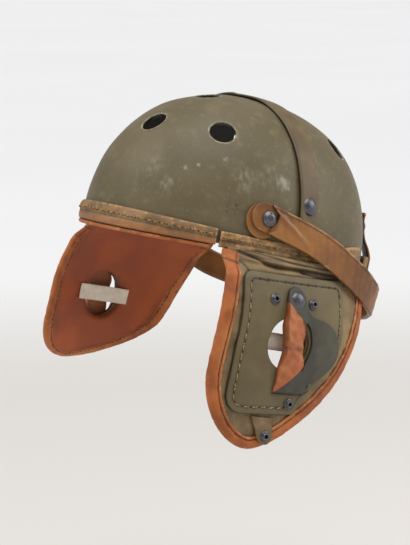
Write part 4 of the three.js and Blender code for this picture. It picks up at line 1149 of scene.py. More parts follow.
@dataclass
class RimBands:
    """The folded leather bands round the rim and the tan lip under the brow, sizes in mm."""

    finishes: Finishes
    thickness: float = 3.0
    height: float = 11.0
    joint_along: float = -81.0
    joint_gap: float = 5.0
    side_end: float = 74.0
    rear_lift: float = 9.0
    brow_dip: float = 2.4
    brow_rise: float = 3.6
    lining_thickness: float = 1.8
    lining_rise: float = 14.0
    lining_show: float = 3.4
    lining_setback: float = 0.8
    seam: Seam = Seam(6.4, 4.7, 0.85, slant=10, hole=0.6)

    # A rolled band's section, from its inner bottom: out as a share of the thickness, up of the height.
    SECTION = ((0, 0.02), (0.4, 0), (0.75, 0.01), (0.93, 0.07), (1.0, 0.16), (1.02, 0.26), (1.0, 0.34),
               (0.9, 0.4), (0.86, 0.44), (0.92, 0.48), (1.04, 0.55), (1.08, 0.63), (1.06, 0.72), (1.0, 0.8),
               (0.9, 0.88), (0.72, 0.95), (0.45, 1.0), (0, 0.99))
    GROOVE_UP, SEAM_ROW = 0.44, 10

    @property
    def joint(self) -> float:
        """The plan angle at which the brow band meets a side band."""
        return angle_along(self.joint_along)

    def build(self) -> None:
        """Builds the brow band, its lining and the two side bands."""
        self._brow_band()
        self._brow_lining()
        for side in Side:
            self._side_band(side)

    def _band(self, name: str, node: str, angles: Array, top: Array, bottom: Array,
              crumple: float, seed: int) -> None:
        """Adds a rolled band and its seam.

        Args:
            name: the piece's name.
            node: the solid that it stands for.
            angles: where it runs round the rim.
            top: its upper edge at each.
            bottom: its lower edge at each.
            crumple: how lumpy it is, in mm.
            seed: picks the lumps.
        """
        section = np.array(self.SECTION)
        up = bottom[:, None] + (top - bottom)[:, None] * section[None, :, 1]
        run = np.concatenate([[0], np.cumsum(np.abs(np.diff(angles)) * RIM_RADIUS)])
        place = np.stack(np.broadcast_arrays(run[:, None], up), -1)
        outer = section[None, :, 0] > 0.5
        pucker = 0.22 * np.sin(run[:, None] * 2 * math.pi / self.seam.pitch + seed)
        pucker = pucker * bump(section[None, :, 1] - 0.5, 0.3)
        rolls = crumple * ripple(place * np.array([0.55, 1.6]), 16, seed) * outer
        ends = np.minimum(run, run[-1] - run)[:, None]
        fold = 0.7 * bump(ends - 1.5, 2.2) * outer
        offset = CLEARANCE + self.thickness * section[None, :, 0] + (pucker + rolls + fold) * outer
        rings = wall_point(angles[:, None], up, offset)
        ridge = np.clip((section[None, :, 0] - 0.98) * 6, 0, 1)
        lumps = 0.4 * smooth(0.2, 0.9, ripple(place, 9, seed + 1))
        wear = (0.55 * ridge + lumps + 0.5 * bump(ends, 2.5)) * outer
        wear = wear + 0.45 * bump(section[None, :, 1] - 0.96, 0.07) + 0.5 * crumple * outer
        # Painted shade in the groove, along the bottom edge and in the hollows of the crumple.
        dirt = 0.5 * bump(section[None, :, 1] - self.GROOVE_UP, 0.03) + 0.8 * (section[None, :, 1] < 0.015)
        dirt = dirt + 0.5 * crumple * smooth(-0.3, -1.2, ripple(place * np.array([0.55, 1.6]), 16, seed))
        flesh = 0.55 * smooth(0.4, 0.3, section[None, :, 1]) * (node == "brow_band")
        marks = {Mark.WEAR: wear + 0 * up, Mark.DIRT: dirt + 0 * up, Mark.FLESH: flesh + 0 * up}
        loft(name, rings, self.finishes.band, [node], marks)
        line = rings[:, self.SEAM_ROW] * 0.4 + rings[:, self.SEAM_ROW + 1] * 0.6
        keep = slice(4, -4)
        out = unit(line * np.array([1, 1, 0]))
        self.seam.sew(f"{name}_seam", line[keep], out[keep], self.finishes.gold_thread, self.finishes.hole)

    def _brow_band(self) -> None:
        """Adds the brow band, a little taller and lower at the front."""
        end = self.joint - self.joint_gap / 4 / HALF_WIDTH
        angles = np.linspace(end, -math.pi - end, 340)
        bottom = BAND_BOTTOM - self.brow_dip * brow_share(angles)
        top = BAND_BOTTOM + self.height + self.brow_rise * brow_share(angles)
        self._band("brow_leather_band", "brow_band", angles, top, bottom, 0.22, 4)

    def _brow_lining(self) -> None:
        """Adds the tan leather that turns round the rim below the brow band."""
        start = angle_along(self.joint_along - self.joint_gap)
        angles = np.linspace(start, -math.pi - start, 300)[:, None]
        back = -SHELL_WALL - CLEARANCE - 0.6
        under = BAND_BOTTOM - self.brow_dip * brow_share(angles) - CLEARANCE
        face = self.thickness - self.lining_setback
        roll = np.linspace(0, math.pi, 9)
        outs = np.concatenate([[back - self.lining_thickness, back, back, 0, 0],
                               face / 2 + (face / 2) * np.sin(roll), [0, back - self.lining_thickness]])
        ups = [self.lining_rise, self.lining_rise, -CLEARANCE, -CLEARANCE]
        up = np.concatenate([np.broadcast_to(ups, (len(angles), 4)), under,
                             under - self.lining_show / 2 * (1 - np.cos(roll)), under - self.lining_show,
                             under - self.lining_show + 0.5], axis=1)
        place = np.stack(np.broadcast_arrays(angles * RIM_RADIUS, up), -1)
        rolled = np.zeros(len(outs))
        rolled[5:14] = np.sin(roll)
        offset = outs[None] + 0.35 * ripple(place, 12, 9) * rolled
        rings = wall_point(angles, up, offset)
        wear = 0.5 * rolled[None] + 0.3 * ripple(place, 8, 2)
        # Painted shade on every row but the rolled lip.
        dirt = 0.6 * (rolled[None] < 0.5) + 0 * up
        loft("brow_tan_lip", rings, self.finishes.tan, ["brow_lining"],
             {Mark.WEAR: wear + 0 * up, Mark.DIRT: dirt})

    def _side_band(self, side: Side) -> None:
        """Adds the crumpled band over an ear flap.

        Args:
            side: which flap.
        """
        start = self.joint + self.joint_gap / 4 / HALF_WIDTH
        end = angle_along(self.side_end)
        near = np.linspace(start, end, 240)
        top = BAND_BOTTOM + self.height + self.rear_lift * smooth(0, end, near)
        angles = near if side is Side.LEFT else math.pi - near
        self._band(f"side_leather_band_{side.label}", f"side_band_{side.label}", angles, top,
                   np.full(near.shape, BAND_BOTTOM - 2.2), 0.8, 17 + side.value)


@dataclass(frozen=True)
class Fold:
    """A crease of the flap: its line in shares of the flap's length and drop, depth and width in mm."""

    line: tuple
    depth: float
    width: float


FOLDS = (
    Fold(((-0.434, 0.023), (-0.353, 0.039), (-0.285, 0.06), (-0.22, 0.066), (-0.126, 0.062),
          (-0.035, 0.06), (0.115, 0.059), (0.3, 0.061)), 3.0, 1.7),
    Fold(((-0.06, 0.072), (0.112, 0.081), (0.222, 0.075), (0.345, 0.078)), 2.2, 1.4),
    Fold(((-0.433, 0.066), (-0.41, 0.085), (-0.393, 0.108)), 1.3, 1.2),
    Fold(((-0.40, 0.012), (-0.297, 0.018), (-0.162, 0.03), (-0.045, 0.033), (0.15, 0.03)), 1.2, 1.1),
    Fold(((0.27, 0.1), (0.35, 0.085), (0.41, 0.09)), 1.4, 1.5),
)
# Ridges between the folds: down at the front and the rear as shares of the drop, rise and width in mm.
RIDGES = ((0.024, 0.024, 2.6, 2.0), (0.05, 0.046, 3.2, 2.0), (0.086, 0.072, 1.4, 2.4))


@dataclass
class EarFlap:
    """One padded ear flap and everything on it, sizes in mm."""

    side: Side
    finishes: Finishes
    length: float = 159.0
    drop: float = 157.0
    standoff: float = 5.0
    flare: float = 19.0
    flare_depth: float = 68.0
    bow: float = 11.5
    curl_shortness: float = 0.66
    curl_radius: float = 60.0
    panel: float = 2.6
    lining: float = 2.2
    pinch: float = 1.4
    binding_width: float = 9.8
    binding_wall: float = 1.4
    binding_face: float = 1.8
    plate_corner: float = 18.0
    plate_back: float = 0.9
    plate_face: float = 2.9
    plate_seam_inset: float = 5.4
    hole: float = 42.0
    hole_along: float = -24.0
    hole_down: float = 69.0
    keeper_back: float = 3.8
    keeper_face: float = 5.6
    keeper_twist: float = 4.0
    rivet_diameter: float = 14.0
    stud_diameter: float = 9.0
    stud_back: float = 3.5
    tab_width: float = 19.6
    tab_length: float = 21.4
    tab_thickness: float = 1.6
    tab_back: float = 2.6
    tape_length: float = 59.0
    tape_width: float = 14.0
    tape_thickness: float = 0.8
    binding_seam: Seam = Seam(3.4, 2.2, 0.3)
    binding_back_seam: Seam = Seam(4.2, 3.0, 0.45)
    plate_top_seam: Seam = Seam(8.2, 5.6, 0.3, slant=-12, hole=1.15)
    plate_seam: Seam = Seam(8.0, 6.4, 0.72, slant=6, hole=0.62)

    # The tab, as shares of the ear hole and of its own length.
    TAB_ALONG, TAB_SLANT, TAB_CLIMB = -0.28, 0.14, (0.1, 0.5)
    TAB_STUD, TAB_ROUND, TAB_TAPER = 0.68, 0.66, 0.25

    def __post_init__(self) -> None:
        """Works out the lines that its pieces share."""
        self.hole_centre = np.array([self.hole_along, -self.hole_down])
        corners = np.array(FLAP_OUTLINE) * np.array([self.length, -self.drop])
        self.edge = along_line(catmull(corners), 400)
        self.plate_line = self._plate_outline()
        self.folds = [(catmull(np.array(fold.line) * np.array([self.length, -self.drop]), fine=8), fold)
                      for fold in FOLDS]

    def build(self) -> None:
        """Builds the leathers, the binding, the plate, the keeper, the hardware, the tab and the tape."""
        self._leathers()
        self._binding()
        self._plate()
        self._keeper()
        self._hardware()
        self._tab()
        self._tape()

    def _face(self, along: Number, height: Number) -> Number:
        """How far out the flap's face is at a place.

        Args:
            along: how far behind the middle.
            height: how far above the rim.

        Returns:
            The distance in mm.
        """
        depth = np.clip(-height / self.flare_depth, 0, 1)
        return (HALF_WIDTH + self.standoff + self.flare * np.sin(depth * math.pi / 2)
                - self.bow * (along / (self.length / 2)) ** 2)

    def point(self, place: Array, offset: Number) -> Array:
        """A point of the flap; the right flap curls outwards below its hole.

        Args:
            place: along and up, on the flat flap.
            offset: how far off its face.

        Returns:
            The point, or an array of points.
        """
        along, height = place[..., 0], place[..., 1]
        level = -self.hole_down - self.hole / 2
        curls = self.side is Side.RIGHT
        below = np.maximum(level - height, 0) * (self.curl_shortness if curls else 0)
        turn = below / self.curl_radius
        flat = np.maximum(height, level) if curls else height
        face = self._face(along, flat - below)
        # The gathered top is drawn in under the side band.
        wall = wall_point(angle_along(along), 0, 0)[..., 0]
        face = face - np.maximum(face - wall - TUCK[self.side], 0) * smooth(-22, -3, height)
        x = face + self.curl_radius * (1 - np.cos(turn)) + offset * np.cos(turn)
        z = flat - self.curl_radius * np.sin(turn) + offset * np.sin(turn)
        return np.stack(np.broadcast_arrays(self.side.value * x, along, z), -1)

    def normal(self, place: Array) -> Array:
        """The flap's outward normal.

        Args:
            place: along and up, on the flat flap.

        Returns:
            One unit vector for each place.
        """
        step = np.array([[0.5, 0], [0, 0.5]])
        along, upward = (self.point(place + way, 0) - self.point(place - way, 0) for way in step)
        return unit(np.cross(along, upward)) * self.side.value

    def _ear(self, share: tuple) -> Array:
        """A place given from the ear hole's centre: along and down, as shares of the hole."""
        return self.hole_centre + np.asarray(share, float) * np.array([self.hole, -self.hole])

    def _plate_outline(self) -> Array:
        """The plate's outline, its corners rounded.

        Returns:
            Its points.
        """
        rows = np.array(PLATE_CORNERS, float)
        places = rows[:, :2] * np.array([self.length, -self.drop])
        line = []
        for index, place in enumerate(places):
            radius = rows[index, 2] * self.plate_corner
            start = place + unit(places[index - 1] - place) * radius
            end = place + unit(places[(index + 1) % len(places)] - place) * radius
            share = np.linspace(0, 1, 12)[:, None]
            line.append((1 - share) ** 2 * start + 2 * share * (1 - share) * place + share**2 * end)
        return along_line(np.vstack(line), 300, closed=True)

    def _sheet(self, name: str, outline: Array, hole: Array, rings: int, back: float,
               face: float, edge: float, lift: Callable, finish: Finish,
               nodes: Sequence[str], marks: Callable) -> bpy.types.Object:
        """A leather from a hole's edge out to an outline, its outer corners rounded.

        Args:
            name: the piece's name.
            outline: its outer edge.
            hole: the hole's edge, point for point.
            rings: how many rings of points its face has.
            back: its back's level.
            face: its face's level.
            edge: its corners' radius.
            lift: how far the face rises at places of the flap.
            finish: its material and the record's slot.
            nodes: the solids that it stands for.
            marks: the marks for places, distances to the edge, and whether each is on the face.

        Returns:
            The piece.
        """
        span = outline - hole
        length = np.linalg.norm(span, axis=1, keepdims=True)
        arc = np.linspace(0, math.pi / 2, 4)
        share = np.linspace(0, 1, rings)[None]
        flat = edge + (length - 2 * edge) * share
        far = length - edge + edge * np.sin(arc)[None]
        near = edge - edge * np.sin(arc[::-1])[None] + 0 * length
        inner = length * np.linspace(1, 0, 10)[None]
        away = np.concatenate([near, flat[:, 1:-1], far, inner], axis=1)
        drop = edge * (1 - np.cos(arc))
        top = face - np.concatenate([drop[::-1], np.zeros(rings - 2), drop])
        place = hole[:, None] + span[:, None] / length[:, None] * away[..., None]
        outer = np.arange(away.shape[1]) < len(top)
        levels = np.concatenate([top, np.full(10, back)])
        offset = levels[None] + np.where(outer[None], lift(place), 0)
        to_edge = np.minimum(away, length - away)
        values = marks(place, to_edge, outer[None])
        return loft(name, self.point(place, offset), finish, nodes, values, joined=True)

    def _hole_edge(self, outline: Array) -> Array:
        """The points of the ear hole's edge that face an outline's points."""
        return self.hole_centre + unit(outline - self.hole_centre) * self.hole / 2

    def _leather_outline(self, count: int) -> Array:
        """The leathers' outline, inside the binding and up to the side band.

        Args:
            count: how many points it has.

        Returns:
            Its points.
        """
        line = offset_line(self.edge, self.binding_wall + 0.9)
        top = BAND_BOTTOM - CLEARANCE
        line = np.vstack([[line[0][0], top], line, [line[-1][0], top]])
        return along_line(line, count, closed=True)

    def _gather(self, place: Array) -> Array:
        """How the gathered leather rises and falls under the side band.

        Args:
            place: along and up, on the flat flap.

        Returns:
            The rise in mm.
        """
        front = FLAP_OUTLINE[0][0] * self.length + self.binding_width
        rear = FLAP_OUTLINE[-1][0] * self.length - self.binding_width
        share = (place[..., 0] - front) / (rear - front)
        fade = smooth(-0.02, 0.12, share) * smooth(-0.02, 0.12, 1 - share)
        rise = 0.0
        for at_front, at_rear, height, width in RIDGES:
            level = -self.drop * (at_front + (at_rear - at_front) * share)
            rise = rise + fade * height * bump(place[..., 1] - level, width)
        for line, fold in self.folds:
            near = bump(line_distance(place, line), fold.width)
            rise = rise - fold.depth * near * smooth(-0.04, 0.05, share)
        return rise

    def _leathers(self) -> None:
        """Adds the gathered outer leather and the tan lining."""
        outline = self._leather_outline(360)
        hole = self._hole_edge(outline)
        plate = np.vstack([self.plate_line, self.plate_line[:1]])

        def lift(place: Array) -> Array:
            """How far the outer leather rises."""
            puff = 0.5 * smooth(0, 8, line_distance(place, plate))
            return self._gather(place) + puff + 0.28 * ripple(place, 22, 6) + 0.12 * ripple(place, 7, 7)

        def marks(place: Array, to_edge: Array, outer: Array) -> Marks:
            """The outer leather's creases and the line round the plate, darkened as painted shade, and its
            rubbed ridges.

            Args:
                place: along and up, on the flat flap.
                to_edge: the distance to the nearest edge, not used.
                outer: whether it is on the face.

            Returns:
                The marks.
            """
            # Painted shade in the creases and a painted shadow round the plate; the back is a little darker.
            crease_shade = sum(bump(line_distance(place, line), fold.width * 0.75) for line, fold in self.folds)
            shadow = 0.85 * bump(line_distance(place, plate), 0.6)
            wear = 0.6 * smooth(1.2, 2.6, self._gather(place)) + 0.25 * ripple(place, 15, 3)
            return {Mark.DIRT: np.where(outer, 0.8 * crease_shade + shadow, 0.2), Mark.WEAR: wear * outer}

        piece = self._sheet(f"flap_leather_{self.side.label}", outline, hole, 90, -self.panel, 0.0, 0.8,
                            lift, self.finishes.painted, [f"flap_{self.side.label}"], marks)
        back = -self.panel - CLEARANCE - self.lining

        def lining_lift(place: Array) -> Array:
            """How far the lining rises, pinched under the binding."""
            pinch = smooth(18, 8, line_distance(place, self.edge[::4]))
            return -0.3 - 0.3 * ripple(place, 30, 12) * (1 - pinch) + (self.pinch + 0.1) * pinch

        def lining_marks(place: Array, to_edge: Array, outer: Array) -> Marks:
            """The lining's faint seam and the grime round its hole.

            Args:
                place: along and up, on the flat flap.
                to_edge: the distance to the nearest edge.
                outer: whether it is on the face, not used.

            Returns:
                The marks.
            """
            seam = 0.4 * bump(line_distance(place, self.edge[::4]) - 13.5, 1.3)
            return {Mark.DIRT: 0.25 * (1 - smooth(0, 10, to_edge)) + seam + 0 * place[..., 0],
                    Mark.WEAR: 0.3 * ripple(place, 25, 15)}

        self._sheet(f"flap_tan_lining_{self.side.label}", outline, hole, 46, back,
                    -self.panel - CLEARANCE, 0.6, lining_lift, self.finishes.inside,
                    [f"flap_lining_{self.side.label}"], lining_marks)

    def _binding(self) -> None:
        """Adds the tan leather folded round the flap's edge, and its two rows of stitches."""
        edge, wall, width, face = self.edge, self.binding_wall, self.binding_width, self.binding_face
        back = -self.panel - self.lining - 2 * CLEARANCE + self.pinch - wall
        middle, half = (face + back) / 2, (face - back) / 2
        arc = np.linspace(math.pi / 2, -math.pi / 2, 15)
        # Rows of: in from the edge, level, wear, dirt and painted shade. A bead and a sunk seam run along
        # the inner edge, the seam darkened as painted shade.
        rows = [(width, face - wall, 0, 0.8), (width + 0.2, face - 0.6, 0.6, 0.5),
                (width - 0.2, face - 0.1, 0.9, 0), (width - 1.2, face + 0.15, 0.5, 0),
                (width - 1.9, face + 0.05, 0.2, 0.1), (width - 2.5, face - 0.35, 0, 0.7),
                (width - 3.1, face + 0.05, 0.2, 0.15), (width - 4.2, face + 0.3, 0.3, 0),
                (width - 5.6, face + 0.3, 0.1, 0)]
        rows += [(3.4 - 3.4 * math.cos(a), middle + half * math.sin(a), 0.5 * math.cos(a), 0) for a in arc]
        rows += [(7, back, 0.2, 0), (width - 2, back + 0.1, 0.2, 0), (width - 1.4, back + 0.45, 0, 0.8),
                 (width - 0.8, back + 0.1, 0.2, 0.1), (width, back + 0.2, 0.5, 0),
                 (width, back + wall, 0, 0.5), (4, back + wall, 0, 0), (4, face - wall, 0, 0)]
        rows = np.array(rows)
        before, after = np.vstack([edge[:1], edge[:-1]]), np.vstack([edge[1:], edge[-1:]])
        run = unit(after - before)
        inward = np.stack([-run[:, 1], run[:, 0]], -1)
        share = np.linspace(0, 1, len(edge))[:, None]
        wider = 1 + 0.32 * smooth(0.42, 0.6, share) * smooth(1.0, 0.85, share)
        place = edge[:, None] + inward[:, None] * (rows[None, :, 0] * wider)[..., None]
        reach = share * np.linalg.norm(np.diff(edge, axis=0), axis=1).sum()
        cap = smooth(7.5, 6.3, reach) + smooth(7.5, 6.3, reach[::-1])
        around = np.stack(np.broadcast_arrays(reach, 2.2 * rows[None, :, 0]), -1)
        sign = np.sign(rows[None, :, 1] - middle)
        lumps = 0.22 * ripple(around, 17, 21) + 0.1 * ripple(around, 5, 22)
        offset = rows[None, :, 1] + sign * (lumps + 0.7 * cap)
        # Painted shade in the crease where each end's cap folds.
        crease_shade = bump(np.minimum(reach, reach[::-1]) - 7.6, 0.8)
        marks = {Mark.WEAR: rows[None, :, 2] + 0.25 * ripple(around, 13, 23),
                 Mark.DIRT: rows[None, :, 3] + 0.75 * crease_shade}
        label = self.side.label
        loft(f"flap_tan_binding_{label}", self.point(place, offset), self.finishes.tan,
             [f"flap_binding_{label}"], marks)
        line = (edge + inward * (width - 2.5) * wider)[14:-14]
        out = self.normal(line)
        thread, hole = self.finishes.dark_thread, self.finishes.hole
        self.binding_seam.sew(f"binding_seam_{label}", self.point(line, face - 0.15), out, thread, hole)
        self.binding_back_seam.sew(f"binding_back_seam_{label}", self.point(line, back + 0.3), -out,
                                   thread, hole)

    def _plate(self) -> None:
        """Adds the stitched plate round the ear hole."""
        outline = self.plate_line
        seam = offset_line(outline, -self.plate_seam_inset, closed=True)
        ring = np.vstack([seam, seam[:1]])
        slit = np.array([self._ear(row) for row in KEEPER_SLIT])

        def lift(place: Array) -> Array:
            """How far the plate rises, sunk along its seam."""
            groove = bump(line_distance(place, ring), 1.1)
            return 0.25 - 0.55 * groove + 0.16 * ripple(place, 26, 31)

        def marks(place: Array, to_edge: Array, outer: Array) -> Marks:
            """The plate's seam groove darkened with dirt and painted shade, its slit darkened as painted
            shadow, and its rubbed edge.

            Args:
                place: along and up, on the flat flap.
                to_edge: the distance to the nearest edge.
                outer: whether it is on the face.

            Returns:
                The marks.
            """
            # Painted shade in the seam groove and painted shadow along the slit; the back is near black.
            groove = bump(line_distance(place, ring), 0.9)
            rim = np.exp(-to_edge / 0.9)
            cut = bump(line_distance(place, slit), 0.75)
            return {Mark.DIRT: np.where(outer, 0.38 * groove + cut, 0.9), Mark.WEAR: 0.8 * rim * outer}

        label = self.side.label
        self._sheet(f"plate_leather_{label}", outline, self._hole_edge(outline), 60, self.plate_back,
                    self.plate_face, 0.9, lift, self.finishes.plate, [f"ear_plate_{label}"], marks)
        spot = int(np.argmin(np.linalg.norm(seam - self._ear((0.42, 1.15)), axis=1)))
        line = np.roll(ring[:-1], -spot - 6, axis=0)[:-12]
        top = line[:, 1] > -self.drop * 0.155
        first, last = np.flatnonzero(top)[[0, -1]]
        sections = {"top": line[first:last + 1], "front": line[:first], "rear": line[last + 1:]}
        for name, part in sections.items():
            if len(part) < 4:
                continue
            thread = self.finishes.dark_thread if name == "top" else self.finishes.thread
            stitch = self.plate_top_seam if name == "top" else self.plate_seam
            stitch.sew(f"plate_seam_{name}_{label}", self.point(part, self.plate_face - 0.1),
                       self.normal(part), thread, self.finishes.hole)

    def _keeper(self) -> None:
        """Adds the soft loop over the ear hole, its tan flesh side turned out at the front."""
        outline = catmull([self._ear(row) for row in KEEPER_OUTLINE], closed=True)
        outline = along_line(outline, 460, closed=True)
        slot = catmull([self._ear(row) for row in KEEPER_SLOT], closed=True)
        centre = self._ear(KEEPER_CENTRE)
        way = np.arctan2(*(outline - centre).T[::-1])
        slot_way = np.arctan2(*(slot - centre).T[::-1])
        order = np.argsort(slot_way)
        hole = np.stack([np.interp(way, slot_way[order], slot[order, axis], period=2 * math.pi)
                         for axis in (0, 1)], -1)
        turn_line = np.array([self._ear(row) for row in KEEPER_TURN])
        middle = self._ear((0.04, 0.0))

        def limb(place: Array) -> tuple:
            """Where a place lies on the keeper.

            Args:
                place: along and up, on the flat flap.

            Returns:
                How tan it is, how far along and down it is, and how far past the turn.
            """
            x = place[..., 0] - middle[0]
            down = (middle[1] - place[..., 1]) / self.hole
            past = place[..., 0] - np.interp(-place[..., 1], -turn_line[:, 1], turn_line[:, 0])
            front = smooth(0.5, -0.5, past) * (down > -0.8) * (down < 0.96)
            return front, x, down, past

        def lift(place: Array) -> Array:
            """How far the keeper arches, twists and wrinkles.

            Args:
                place: along and up, on the flat flap.

            Returns:
                The rise in mm.
            """
            front, x, down, _ = limb(place)
            arch = self.keeper_twist * np.maximum(1 - down**2, 0)
            arch = arch * smooth(0, self.hole / 2, centre[0] - place[..., 0])
            twist = front * 0.2 * x * np.sin(np.clip(down, -1, 1) * 3.4 - 0.4)
            wrinkle = front * (0.55 * ripple(place, 12, 41) + 0.08 * ripple(place, 5, 42))
            wrinkle = wrinkle - 0.8 * front * bump(down - 0.05 - 0.01 * x, 0.05)
            return arch + twist + wrinkle + 0.15 * ripple(place, 18, 43)

        def marks(place: Array, to_edge: Array, outer: Array) -> Marks:
            """The tan limb, the rubbed edge, and the dirt and painted shade of the keeper.

            Args:
                place: along and up, on the flat flap.
                to_edge: the distance to the nearest edge.
                outer: whether it is on the face.

            Returns:
                The marks.
            """
            front, _, down, past = limb(place)
            rim = np.exp(-to_edge / 0.8)
            # Dirt, with painted shade along the lower turn of the flesh side and in its crease.
            dirt = 0.3 * rim + 0.45 * bump(past, 0.7) * (down > 0.42) + 0.4 * front * bump(down - 0.05, 0.05)
            dirt = dirt + 0.18 * front * smooth(0.2, 1.3, ripple(place, 15, 45))
            return {Mark.FLESH: front, Mark.WEAR: 0.7 * rim + 0.22 * front * ripple(place, 13, 44),
                    Mark.DIRT: np.where(outer, dirt, 0.3)}

        label = self.side.label
        self._sheet(f"keeper_leather_{label}", outline, hole, 40, self.keeper_back, self.keeper_face,
                    0.7, lift, self.finishes.keeper, [f"ear_keeper_{label}"], marks)

    def _hardware(self) -> None:
        """Adds the keeper's rivet cap and the three snap studs."""
        label = self.side.label
        seat = self._ear(KEEPER_RIVET)
        turned(f"keeper_cap_{label}", CAP_PROFILE, self.rivet_diameter / 2,
               self.point(seat, self.keeper_face + CLEARANCE), self.normal(seat), self.finishes.metal,
               [f"keeper_rivet_{label}"])
        for name, share in STUDS.items():
            place = self._ear(share)
            turned(f"{name}_ring_{label}", STUD_PROFILE, self.stud_diameter / 2,
                   self.point(place, self.stud_back), self.normal(place), self.finishes.metal,
                   [f"{name}_{label}"])

    def _tab(self) -> None:
        """Adds the small tab over the binding and its snap stud."""
        label = self.side.label
        foot = -max(row[1] for row in PLATE_CORNERS) * self.drop
        share = np.sin(np.linspace(0, math.pi / 2, 60))[:, None]
        past = np.maximum(share - self.TAB_ROUND, 0) / (1 - self.TAB_ROUND)
        rounding = np.maximum(np.sqrt(np.maximum(1 - past**2, 0)), 0.12)
        half = self.tab_width / 2 * (1 - self.TAB_TAPER * share) * rounding
        section = ribbon_section(self.tab_thickness, 0.7, 16)
        across = section[None, :, 0] * np.maximum(half - section[None, :, 1], 0.2)
        start = self.hole_along + self.TAB_ALONG * self.hole
        place = np.stack(np.broadcast_arrays(start + self.TAB_SLANT * self.hole * share + across,
                                             foot - CLEARANCE - self.tab_length * share), -1)
        climb = 0.6 + (self.tab_back - 0.6) * smooth(*self.TAB_CLIMB, share)
        crumple = 0.7 * smooth(0.3, 0.8, share) * smooth(0, -8, across) * (1 + ripple(place, 6, 51))
        offset = climb + section[None, :, 2] + crumple + 0.15 * ripple(place, 8, 52)
        rim = np.exp(-(half - np.abs(across)) / 1.2)
        grime = 0.5 * smooth(-4, -9, across) * smooth(0.4, 0.9, share)
        marks = {Mark.WEAR: 0.9 * rim + 0.3 * share, Mark.DIRT: grime + (section[None, :, 2] < 0.5)}
        loft(f"tab_leather_{label}", self.point(place, offset), self.finishes.painted,
             [f"flap_tab_{label}"], marks)
        spot = np.array([start + self.TAB_SLANT * self.hole * self.TAB_STUD,
                         foot - CLEARANCE - self.tab_length * self.TAB_STUD])
        top = self.tab_back + self.tab_thickness + CLEARANCE
        turned(f"tab_ring_{label}", STUD_PROFILE, self.stud_diameter / 2, self.point(spot, top),
               self.normal(spot), self.finishes.metal, [f"tab_stud_{label}"])

    def _tape(self) -> None:
        """Adds the cotton tape across the inside of the ear hole."""
        along = np.linspace(-self.tape_length / 2, self.tape_length / 2, 60)[:, None]
        section = ribbon_section(self.tape_thickness, 0.25, 12)
        across = section[None, :, 0] * (self.tape_width / 2 - section[None, :, 1])
        place = self.hole_centre + np.stack(np.broadcast_arrays(along, across), -1)
        back = -self.panel - self.lining - 2 * CLEARANCE - 0.3
        sag = 0.35 * ripple(place, 20, 61)
        marks = {Mark.DIRT: 0.4 * np.exp(-(self.tape_width / 2 - np.abs(across)) / 0.8) + 0 * along}
        piece = loft(f"cotton_tape_{self.side.label}", self.point(place, back - section[None, :, 2] + sag),
                     self.finishes.tape, [f"ear_tape_{self.side.label}"], marks)


